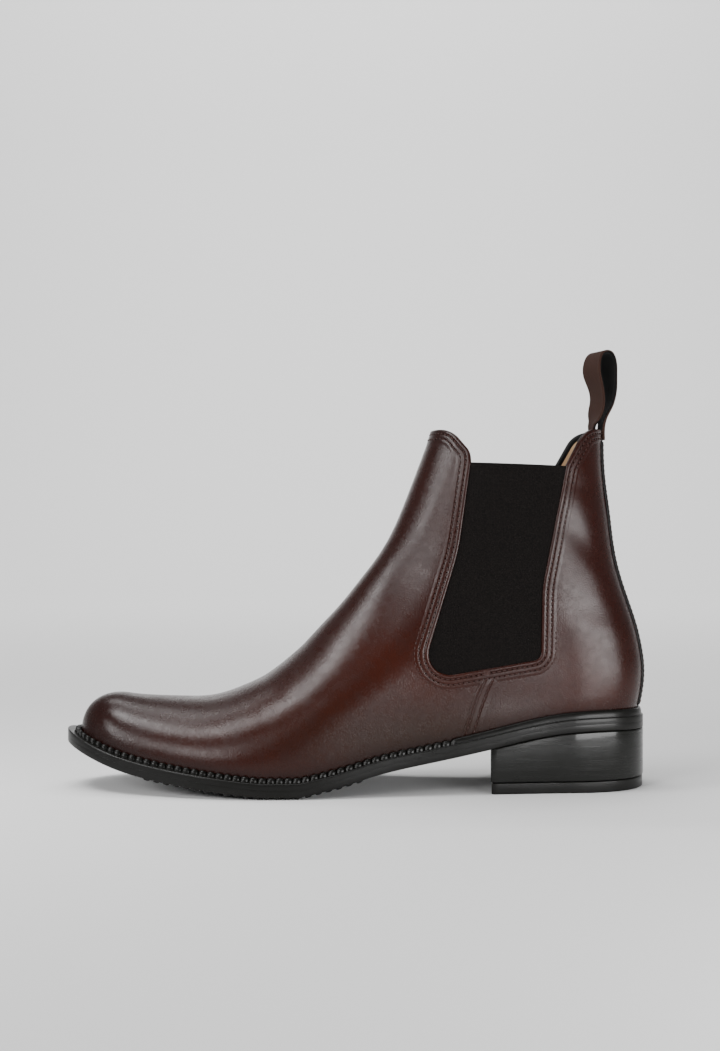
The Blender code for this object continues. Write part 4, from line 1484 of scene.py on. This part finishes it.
def make_side_seam(name, side):
    """A patch for the lap, closed by a second sheet below the skin."""
    share = np.linspace(0, 1, SEAM_STATIONS)
    profile = profile_rows(SEAM_PROFILE, SEAM_PROFILE_ROWS)
    centre = seam_centre(share)
    station = centre[:, None, 0] + profile[None, :, 0]
    height = mix(SEAM_TOP[1], feather(station) + GAP, share[:, None])
    # The lap rises from flat at the top, and thins to half its height just above the welt.
    fade = (ease(share * 8) * (1 - 0.5 * ease((share - 0.88) * 10)))[:, None]
    lift = mix(0.00002, profile[None, :, 1], fade)
    top, _ = skin(side, station, height, lift)
    under, _ = skin(side, station, height, np.minimum(lift, 0) - SEAM_THICKNESS)
    points = np.concatenate([top, under[:, ::-1]], axis=1)
    seam = make_piece(name, points, strap_quads(*points.shape[:2]), [leather])
    tint(seam)
    finish_piece(seam)


def seam_stitches():
    """Two rows of stitches down each side seam, and the bar tack across its top end."""
    parts = []
    holes = []
    share = np.linspace(0.03, 0.93, 60)
    centre = seam_centre(share)
    for side in (LATERAL, MEDIAL):
        for row in SEAM_ROWS:
            station = centre[:, 0] + row
            height = mix(SEAM_TOP[1], feather(station) + GAP, share)
            path, normal = skin(side, station, height, SEAM_THREAD_LIFT)
            parts.append(stitch_row(path, normal))
            holes.append(hole_row(path, normal))
        level = TACK_AT[1] + np.arange(TACK_STITCHES) * TACK_SPACING
        ends = []
        for reach in (-TACK_WIDTH / 2, TACK_WIDTH / 2):
            station = np.full(TACK_STITCHES, TACK_AT[0] + reach)
            spot, normal = skin(side, station, level, TACK_LIFT)
            ends.append(spot)
        parts.append(stitch_mesh(*ends, normal))
    return join_meshes(parts), join_meshes(holes)


make_side_seam("side_seam_outer", LATERAL)
make_side_seam("side_seam_inner", MEDIAL)
finish_stitches("seam", *seam_stitches())

# %% [markdown]
# The gores are knitted elastic with fine upright ribs. Ribs as bump alone would vanish at the
# panel's silhouette, so they are real here: the sheet's height is a rounded wave across it,
# with a flat woven band at the top edge. The sheet is trimmed with the same opening as the
# leather, less the small gap that the solids keep.

# %% Elastic gores
ELASTIC_RIB = 0.00125
ELASTIC_DEPTH = 0.00022
ELASTIC_BAND = 0.0026
BAND_FADE = 0.0006
BAND_LIFT = 0.00012
RIB_POWER = 0.7
SAMPLES_PER_RIB = 4
GORE_GRID_ROWS = 90


def make_gore(name, side, node_name):
    """A thin sheet on the last, sunk below the leather, with ribs of a rounded wave."""
    loop = offset_loop(fillet_loop(*gore_corners()), -GAP)
    margin = 4 * GAP
    low, high = loop.min(axis=0) - margin, loop.max(axis=0) + margin
    columns = int((high[0] - low[0]) / ELASTIC_RIB * SAMPLES_PER_RIB)
    station, height = np.meshgrid(
        np.linspace(low[0], high[0], columns), np.linspace(low[1], high[1], GORE_GRID_ROWS)
    )
    wave = np.abs(np.sin(np.pi * station / ELASTIC_RIB)) ** RIB_POWER
    band = ease((height - (GORE_TOP - ELASTIC_BAND)) / BAND_FADE)
    relief = ELASTIC_DEPTH * (mix(wave, 0.8, band) - 1) + BAND_LIFT * band
    outer, _ = skin(side, station, height, relief - GORE_SINK)
    inner, _ = skin(side, station, height, np.full(station.shape, -GORE_SINK - GORE_WALL))
    points = np.concatenate([outer, inner[::-1]])
    quads = strap_quads(*points.shape[:2], across_rows=True)
    gore = make_piece(name, points, quads, [elastic])
    cut_piece(gore, loop, 0.0, side * CUT_REACH, "INTERSECT")
    sharpen(gore, 60)
    finish_piece(gore, [node_name])


make_gore("elastic_outer", LATERAL, "gore_outer")
make_gore("elastic_inner", MEDIAL, "gore_inner")

# %% [markdown]
# A narrow strip of black leather covers the back seam, a millimetre thick, with rounded edges
# and a row of stitches near each. A Shrinkwrap modifier could press a flat strip on, but the
# upper's surface is known here, so the strip's points are worked out on it.

# %% Back strip
STRIP_ROWS = 150
STRIP_COLUMNS = 32
STRIP_FADE = 0.0006
STRIP_ROW_AT = 0.78


def back_grid(height, sideways):
    """Points of the back at a height and a distance across, by turning the rounding round."""
    centre = foot("centre", back(height)) * BALL_WIDTH
    spread = back_column("round", height) * HEEL_WIDTH
    wide = np.abs(across(LATERAL, back(height) + spread, height) - centre)
    station = back(height) + spread * unrounded(np.abs(sideways) / wide)
    return place(station, centre + sideways, np.broadcast_to(height, station.shape))


def make_back_strip():
    """A strip over the seam: its wall fades to its edges as a superellipse."""
    low = SEAT + RIB_HEIGHT * FOOT["rib"][0] + 2 * GAP
    height = np.linspace(low, BACKSTAY_TOP, STRIP_ROWS)[:, None]
    share = -np.cos(np.linspace(0, np.pi, STRIP_COLUMNS))[None]
    grid = back_grid(height, share * BACKSTAY_WIDTH / 2)
    normal = grid_normals(grid)
    normal = normal * np.sign(normal[..., :1])
    thick = BACKSTAY_WALL * (1 - np.abs(share) ** 12) ** 0.5
    trough = 0.00016 * np.exp(-(((np.abs(share) - STRIP_ROW_AT) / 0.07) ** 2))
    ends = np.minimum(ease((height - low) / STRIP_FADE), ease((BACKSTAY_TOP - height) / STRIP_FADE))
    top = grid + normal * (GAP * 0.5 + (thick - trough) * mix(0.3, 1, ends))[..., None]
    under = grid + normal * GAP * 0.4
    points = np.concatenate([top, under[:, ::-1]], axis=1)
    strip = make_piece("back_strip", points, strap_quads(*points.shape[:2]), [black_leather_and_shade])
    finish_piece(strip, ["backstay"])
    parts = []
    for side in (-1, 1):
        line = np.linspace(low + 0.001, BACKSTAY_TOP - 0.001, 200)[:, None]
        spots = (STRIP_ROW_AT + np.array([[-0.08, 0.0, 0.08]])) * side * BACKSTAY_WIDTH / 2
        patch = back_grid(line, np.broadcast_to(spots, (200, 3)))
        out = grid_normals(patch)
        out = (out * np.sign(out[..., :1]))[:, 1]
        parts.append(stitch_row(patch[:, 1] + out * (BACKSTAY_WALL + 0.00010), out))
    rows = make_piece("back_stitches", *join_meshes(parts), [thread])
    finish_piece(rows)


make_back_strip()

# %% [markdown]
# The pull loop is one strap of brown woven tape; its inner face is black, as painted shade. It
# comes out of the boot, rises, turns and goes down over the back strip. Cloth simulation could
# drape it, but such tape is stiff and keeps the twist that it was sewn with, so its middle line
# is a spline, and its width turns about that line.

# %% Pull loop
LOOP_ROWS = 220
LOOP_COLUMNS = 30
CORD_LIFT = 0.00012
TAPE_RIB_LIFT = 0.00006
TAPE_RIB_PITCH = 0.0013


def strap_line(rows):
    """Middle line of the strap with its turn: a spline through inner lap, loop and outer lap."""
    wall = LOOP_WALL / 2 + 2 * GAP
    low = COLLAR_REAR - LOOP_TUCK
    tucked = np.array([low, (low + COLLAR_REAR) / 2, COLLAR_REAR])
    inner = np.stack([back(tucked) + UPPER_WALL + wall, tucked, np.zeros(3)], axis=-1)
    lapped = np.array([COLLAR_REAR, BACKSTAY_TOP + 2 * GAP])
    outer = np.stack([back(lapped) - wall, lapped, np.zeros(2)], axis=-1)
    fore = back(COLLAR_REAR) + STRAP["fore"] * LOOP_WIDTH
    free = np.stack([fore, COLLAR_REAR + STRAP["up"] * LOOP_HEIGHT, STRAP["turn"]], axis=-1)
    return spline_chain(np.concatenate([inner, free, outer]), rows)


def make_pull_loop():
    """The strap's section: a flat oval with two raised cords along its edges."""
    line, even = strap_line(LOOP_ROWS)
    share = -np.cos(np.linspace(0, np.pi, LOOP_COLUMNS))[None]
    sideways = share * LOOP_WIDTH / 2
    turn = line[:, 2:] * LOOP_TWIST
    half_width = back_column("wide", COLLAR_REAR) * SHAFT_WIDTH
    curl = (1 - ease(line[:, 2:] * 2)) * back_column("round", COLLAR_REAR) * HEEL_WIDTH / half_width**2
    station = line[:, :1] + sideways * np.sin(turn) + curl * sideways**2 / 2
    centre = foot("centre", back(COLLAR_REAR)) * BALL_WIDTH
    height = np.broadcast_to(line[:, 1:2], station.shape)
    grid = place(station, centre + sideways * np.cos(turn), height)
    cords = CORD_LIFT * np.exp(-(((np.abs(share) - 0.90) / 0.06) ** 2))
    ribs = TAPE_RIB_LIFT * np.abs(np.sin(sideways * np.pi / TAPE_RIB_PITCH))
    thick = LOOP_WALL / 2 * (1 - np.abs(share) ** 14) ** 0.5 * 0.88
    thick = thick + (cords + ribs) * (np.abs(share) < 0.995)
    wall = grid_normals(grid) * np.broadcast_to(thick, station.shape)[..., None]
    points = np.concatenate([grid + wall, (grid - wall)[:, ::-1]], axis=1)
    quads = strap_quads(*points.shape[:2])
    # Painted shade: the strap's inner face takes the black tape.
    groups = (quads[:, 0] % points.shape[1] >= LOOP_COLUMNS).astype(int)
    groups[LOOP_COLUMNS * 2 * (LOOP_ROWS - 1) :] = 0
    loop = make_piece("pull_loop_tape", points, quads, [tape_brown, tape_painted_shade], groups)
    flat = np.broadcast_to(np.concatenate([sideways, sideways[:, ::-1]], axis=1), points.shape[:2])
    run = np.broadcast_to(even[:, None], points.shape[:2])
    add_uv(loop, np.stack([flat, run], axis=-1))
    finish_piece(loop, ["pull_loop"])


make_pull_loop()

# %% [markdown]
# The welt is the strip of rubber that joins upper and sole. Its rib leans against the leather
# and keeps the water out, and in front of the heel the rib is pressed into beads. The beads
# could be separate balls in a row, but they are pressed from one strip, so here they are a
# rounded wave along it, and the section is carried round in steps of an eighth of a bead.

# %% Welt
BEAD_PITCH = 0.0042
BEAD_NOTCH = 0.0013
BEADS_FROM = 0.0960
STEPS_PER_BEAD = 8
PLAIN_STEP = 0.0016
WELT_CORNER = 0.0006
WELT_CORNER_STEPS = 5
RIB_STEPS = 8
BEAD_POWER = 0.55
RIB_FACE_POWER = 0.7
RIB_RISE_POWER = 0.9
JOINT = 0.00002


def welt_stops(edge):
    """Lengths round the welt's edge for its sections, and the height of the bead there."""
    closed = np.concatenate([edge, edge[:1]])
    length = lengths(closed)
    first = length[np.argmax(edge[:, 0] > BEADS_FROM)]
    last = length[len(edge) - np.argmax(edge[::-1, 0] > BEADS_FROM)]
    beads = int((last - first) / BEAD_PITCH)
    steps = np.arange(beads * STEPS_PER_BEAD + 1) / STEPS_PER_BEAD
    beaded = mix(first, last, steps / beads)
    plain = int((length[-1] - last + first) / PLAIN_STEP)
    rest = mix(last, length[-1] + first, np.arange(1, plain) / plain)
    stops = np.concatenate([beaded, rest]) % length[-1]
    wave = np.abs(np.sin(np.pi * steps)) ** BEAD_POWER
    return stops, np.concatenate([wave, np.ones(plain - 1)]), length


def make_welt():
    """The welt's section: a plain edge, a narrow ledge, and a beaded rib up the leather.

    A bead is a rounded sine along the edge. It pushes the rib's face out and its crest up.
    """
    loop = feather_loop(FINE)
    stand = ledge(loop[:, 0])
    stops, wave, length = welt_stops(offset_loop(loop, stand))

    def carried(values):
        """Values known at the loop's points, read at the stops."""
        return np.interp(stops, length, np.append(values, values[0]))

    def row(outward, rise, notch=0.0):
        """One line of the section, carried round the boot and pressed in between beads."""
        plain = offset_loop(loop, outward)
        pressed = offset_loop(loop, outward - notch)
        station = mix(carried(pressed[:, 0]), carried(plain[:, 0]), wave)
        sideways = mix(carried(pressed[:, 1]), carried(plain[:, 1]), wave)
        base = underside(station) + OUTSOLE_THICKNESS + JOINT
        return place(station, sideways, base + rise)

    top = WELT_THICKNESS - JOINT
    rib = carried(foot("rib", loop[:, 0])) * RIB_HEIGHT
    low = BEAD_NOTCH * (1 - wave)
    root = np.minimum(GAP + RIB_LEAN + RIB_WIDTH, stand - WELT_CORNER)
    rows = [row(-UPPER_WALL, 0.0), row(stand, 0.0)]
    for angle in np.linspace(0, math.pi / 2, WELT_CORNER_STEPS):
        push = stand - WELT_CORNER * (1 - math.cos(angle))
        rows.append(row(push, top - WELT_CORNER * (1 - math.sin(angle))))
    rows.append(row(root, top, BEAD_NOTCH * 0.6))
    for angle in np.linspace(0.2, math.pi / 2, RIB_STEPS):
        face = GAP + RIB_LEAN + (root - GAP - RIB_LEAN) * math.cos(angle) ** RIB_FACE_POWER
        crest = top + (rib - low) * math.sin(angle) ** RIB_RISE_POWER
        rows.append(row(face, crest, BEAD_NOTCH))
    rows.append(row(GAP + RIB_LEAN * 0.3, top + rib * 0.95 - low * 0.6))
    rows.append(row(GAP * 0.3, top + rib * 0.5))
    rows.append(row(-GAP, top))
    rows.append(row(-UPPER_WALL, top))
    points = np.array(rows)
    quads = grid_quads(*points.shape[:2], wrap_rows=True, wrap_columns=True)
    welt = make_piece("storm_welt", points, quads, [sole_rubber])
    sharpen(welt, 50)
    finish_piece(welt, ["welt"])


make_welt()

# %% [markdown]
# The outsole is a plate with rounded edges and low cross ribs under the forefoot. A plate like
# this could be an extruded outline with a Bevel modifier. Here its edge is a profile carried
# round the outline, and each face is a set of rings between the outline and a line along its
# middle. Their heights follow the arch, so that top and bottom bend with the sole.

# %% Outsole
SOLE_STEPS = 260
SOLE_EDGE = 0.0007
SOLE_SEAM_EDGE = 0.00005
TREAD_FROM = 0.1400
TREAD_TO = 0.2430
TREAD_PITCH = 0.0048
TREAD_FOOT = 0.0034
TREAD_INSET = 0.0004
TREAD_SUNK = 0.0008
TREAD_STATIONS = 26
TREAD_TURNS = 9
TREAD_END_POWER = 60


def sole_halves(count, inset):
    """The sole's outline as two chains from the rear to the toe, sharing both ends."""
    loop = sole_loop(count, inset)
    half = len(loop) // 2
    lateral = loop[: half + 1]
    medial = np.concatenate([loop[half:], loop[:1]])[::-1]
    return lateral, medial


def plate_points(loop_at, middle, shares, levels, edges, steps):
    """Rings of a plate: from its middle out, over the rounded edge, and in on the other face.

    On a face each ring is the outline mixed with the middle: middle + share * (outline -
    middle). levels and edges give the height and the edge radius of the lower and upper face.
    """
    loop = loop_at(0.0)
    corner = np.linspace(0, math.pi / 2, steps)
    faces = []
    for level, edge, upwards in zip(levels, edges, (1, -1)):
        rings = [(mix(middle, loop, share), 0.0) for share in shares]
        for angle in corner:
            moved = loop_at(edge * (1 - math.sin(angle)))
            rings.append((moved, upwards * edge * (1 - math.cos(angle))))
        faces.append([place(*plan.T, level(plan[:, 0]) + lift) for plan, lift in rings])
    return np.array(faces[0] + faces[1][::-1])


def make_plate(name, loop_at, levels, edges, material, steps=5):
    """A plate from a closed outline, spanned from a line along the outline's middle."""
    loop = loop_at(0.0)
    partner = loop[-np.arange(len(loop))]
    shares = (0.0, 0.35, 0.7, 0.9)
    points = plate_points(loop_at, (loop + partner) / 2, shares, levels, edges, steps)
    piece = make_piece(name, points, grid_quads(*points.shape[:2], wrap_columns=True), [material])
    weld(piece)
    return piece


def weld(piece, distance=1e-6):
    """Merge the points of a middle line, which its two sides share, and drop empty faces."""
    build = bmesh.new()
    build.from_mesh(piece.data)
    bmesh.ops.remove_doubles(build, verts=build.verts, dist=distance)
    bmesh.ops.dissolve_degenerate(build, edges=build.edges, dist=distance)
    build.to_mesh(piece.data)
    build.free()


def tread_bar(station):
    """One cross rib: an arched bar from edge to edge, as rings along it."""
    lateral, medial = sole_halves(FINE, TREAD_INSET)
    ends = [np.interp(station, line[:, 0], line[:, 1]) for line in (lateral, medial)]
    share = cosine_steps(TREAD_STATIONS)
    sideways = mix(ends[0], ends[1], share)
    swell = (1 - np.abs(2 * share - 1) ** TREAD_END_POWER) ** 0.5
    turn = np.linspace(0, math.pi, TREAD_TURNS)
    around = station + np.cos(turn)[None] * TREAD_FOOT / 2 * np.maximum(swell, 0.2)[:, None]
    drop = np.sin(turn)[None] ** 0.8 * TREAD_HEIGHT * swell[:, None]
    level = underside(around) - drop
    lower = place(around, sideways[:, None], level)
    back_up = place(around[:, ::-1], sideways[:, None], underside(around[:, ::-1]) + TREAD_SUNK)
    points = np.concatenate([lower, back_up], axis=1)
    return points.reshape(-1, 3), strap_quads(*points.shape[:2])


def make_outsole():
    """The sole's plate, and the cross ribs under its forefoot."""
    plate = make_plate(
        "outsole_plate",
        lambda inset: sole_loop(FINE, inset),
        (underside, lambda station: underside(station) + OUTSOLE_THICKNESS),
        (SOLE_EDGE, SOLE_SEAM_EDGE),
        sole_rubber,
    )
    finish_piece(plate, ["outsole"])
    count = int((TREAD_TO - TREAD_FROM) / TREAD_PITCH) + 1
    bars = [tread_bar(TREAD_FROM + number * TREAD_PITCH) for number in range(count)]
    tread = make_piece("tread_ribs", *join_meshes(bars), [sole_rubber])
    finish_piece(tread)


make_outsole()

# %% [markdown]
# The heel is a polished block with a wearing piece below it. A cylinder cut flat in front
# would be simpler, but the heel has to follow the sole's outline, so both pieces are plates
# with the rear of that outline. Their rounded edges leave the joints as thin dark lines.

# %% Heel
HEEL_STEPS = 60
BREAST_ROUND = 0.0009
HEEL_EDGE = 0.0006
HEEL_JOINT = 0.00012


def heel_loop(inset):
    """The rear of the sole's outline, less an inset, cut with a slight slant at the breast."""
    lateral, medial = sole_halves(FINE, inset)
    rear = lateral[0, 0]
    share = 1 - np.cos(np.linspace(0, np.pi / 2, HEEL_STEPS))
    angle = np.linspace(0, np.pi / 2, 5)[1:]
    sides = []
    for line, front, inwards in (
        (lateral, HEEL_LENGTH - inset, 1),
        (medial, HEEL_LENGTH - BREAST_SLANT - inset, -1),
    ):
        station = rear + (front - BREAST_ROUND - rear) * share
        sideways = np.interp(station, line[:, 0], line[:, 1])
        corner = front - BREAST_ROUND + BREAST_ROUND * np.sin(angle)
        turned = sideways[-1] + inwards * BREAST_ROUND * (1 - np.cos(angle))
        sides.append(np.stack([np.append(station, corner), np.append(sideways, turned)], axis=-1))
    spread = np.linspace(0, 1, 7)[1:-1, None]
    breast = mix(sides[0][-1], sides[1][-1], spread)
    return np.concatenate([sides[0], breast, sides[1][:0:-1]])


def level_at(height):
    """A flat face, at the same height at every station."""
    return lambda station: np.full(np.shape(station), height)


def heel_plate(name, levels, taper, material, node_name):
    """A piece of the heel as a plate. Its front counts as part of the outline."""

    def loop_at(inset):
        """The outline of this piece, moved in by an inset."""
        return heel_loop(inset + taper)

    centre = loop_at(0.0).mean(axis=0)
    points = plate_points(loop_at, centre, (0.02, 0.4, 0.75), levels, (HEEL_EDGE, HEEL_EDGE), 6)
    points[[0, -1]] = points[[0, -1]].mean(axis=1, keepdims=True)
    piece = make_piece(name, points, grid_quads(*points.shape[:2], wrap_columns=True), [material])
    weld(piece)
    finish_piece(piece, [node_name])


block_levels = (
    level_at(TOP_LIFT_THICKNESS + HEEL_JOINT),
    lambda station: underside(station) - HEEL_JOINT,
)
lift_levels = (level_at(0.0), level_at(TOP_LIFT_THICKNESS - HEEL_JOINT))
heel_plate("heel_stack", block_levels, 0.0, heel_polish, "heel_block")
heel_plate("heel_wearing_piece", lift_levels, HEEL_TAPER, sole_rubber, "top_lift")

# %% [markdown]
# Inside lies the insole under a cream sock. It could be left as the plain solid, but from
# above it shows through the mouth, so it gets a soft edge and the lining's pores.

# %% Insole
INSOLE_EDGE = 0.0012


def make_insole():
    """A plate inside the upper, with a rounded edge."""
    base = offset_loop(feather_loop(SOLE_STEPS), -UPPER_WALL - INSOLE_CLEARANCE)
    under = OUTSOLE_THICKNESS + GAP
    piece = make_plate(
        "insole_sock",
        lambda inset: offset_loop(base, -inset),
        (
            lambda station: underside(station) + under,
            lambda station: underside(station) + under + INSOLE_THICKNESS,
        ),
        (INSOLE_EDGE, INSOLE_EDGE),
        lining,
    )
    finish_piece(piece, ["insole"])


make_insole()

# %% [markdown]
# The floor is plain and pale and runs on as a wall far behind. A polished boot shows its
# lamps, so each soft box stands where the photo's leather has a highlight: one over the toe,
# a low one on the left and one at the front left for the shaft's bands, one close to the
# counter on the right, and one above for the rim along the instep. A lamp behind the boot
# washes the wall, and the surroundings are dim, so that the leather stays dark elsewhere.

# %% Floor and light
FLOOR_WIDE = 8.0
FLOOR_NEAR = -3.0
FLOOR_BEND = 2.2
BEND_RADIUS = 1.2
BEND_STEPS = 24
WALL_RISE = 1.75
WORLD_STRENGTH = 0.26


def make_floor():
    """A sheet that turns up in an arc behind the boot."""
    turn = np.linspace(0, math.pi / 2, BEND_STEPS)
    bend = FLOOR_BEND + BEND_RADIUS * np.sin(turn)
    run = np.concatenate([[FLOOR_NEAR, 0.0], bend, bend[-1:]])
    rise = np.concatenate([[0.0, 0.0], BEND_RADIUS * (1 - np.cos(turn)), [WALL_RISE]])
    wide, run = np.meshgrid([-FLOOR_WIDE / 2, FLOOR_WIDE / 2], run)
    points = np.stack([wide, run, np.broadcast_to(rise[:, None], run.shape)], axis=-1)
    material, _, _ = new_material("pale floor", (0.70, 0.70, 0.70), 0.9, 0.1)
    floor = make_piece("floor", points, grid_quads(*run.shape), [material], closed=False)


def add_lamp(name, size, power, where, tilt, turn=0.0):
    """A rectangular lamp that the camera doesn't see, tilted and turned by degrees."""
    data = bpy.data.lights.new(name, "AREA")
    data.shape = "RECTANGLE"
    data.size, data.size_y = size
    data.energy = power
    light = add_object(name, data)
    light.location = where
    light.rotation_euler = (math.radians(tilt), 0, math.radians(turn))
    light.visible_camera = False


BOOT_MIDDLE = np.array([0.0, 0.0, 0.08])
TOE_SIDE = np.array([-0.10, -0.03, 0.04])
COUNTER_SIDE = np.array([0.105, -0.03, 0.06])


def soft_box(name, turn, rise, away, wide, high, power, aim=BOOT_MIDDLE):
    """A soft box that faces the boot.

    Its place is given as seen from the boot: degrees to the right of the camera, degrees up
    and metres away. Its size is in degrees too, as the boot's surface mirrors it.
    """
    azimuth = math.radians(turn)
    elevation = math.radians(rise)
    direction = np.array(
        [
            math.sin(azimuth) * math.cos(elevation),
            -math.cos(azimuth) * math.cos(elevation),
            math.sin(elevation),
        ]
    )
    size = [2 * away * math.tan(math.radians(angle / 2)) for angle in (wide, high)]
    add_lamp(name, size, power * size[0] * size[1], aim + direction * away, 90 - rise, turn)


make_floor()
soft_box("toe box", -74, 63, 0.36, 18, 19, 68.0, TOE_SIDE)
soft_box("low left box", -65, 18, 1.5, 14, 16, 62.0)
soft_box("front left box", -36, 22, 1.6, 15, 19, 46.0)
soft_box("right box", 40, 3, 0.5, 50, 15, 58.0, COUNTER_SIDE)
soft_box("top box", -100, 84, 1.8, 30, 22, 24.0)
add_lamp("wall light", (3.0, 0.6), 140.0, (0.0, 1.3, 2.5), 50)

world = bpy.data.worlds.new("studio")
world.use_nodes = True
background = world.node_tree.nodes["Background"]
background.inputs["Color"].default_value = (1.0, 1.0, 1.0, 1.0)
background.inputs["Strength"].default_value = WORLD_STRENGTH
bpy.context.scene.world = world
print("lights:", len(bpy.data.lights))
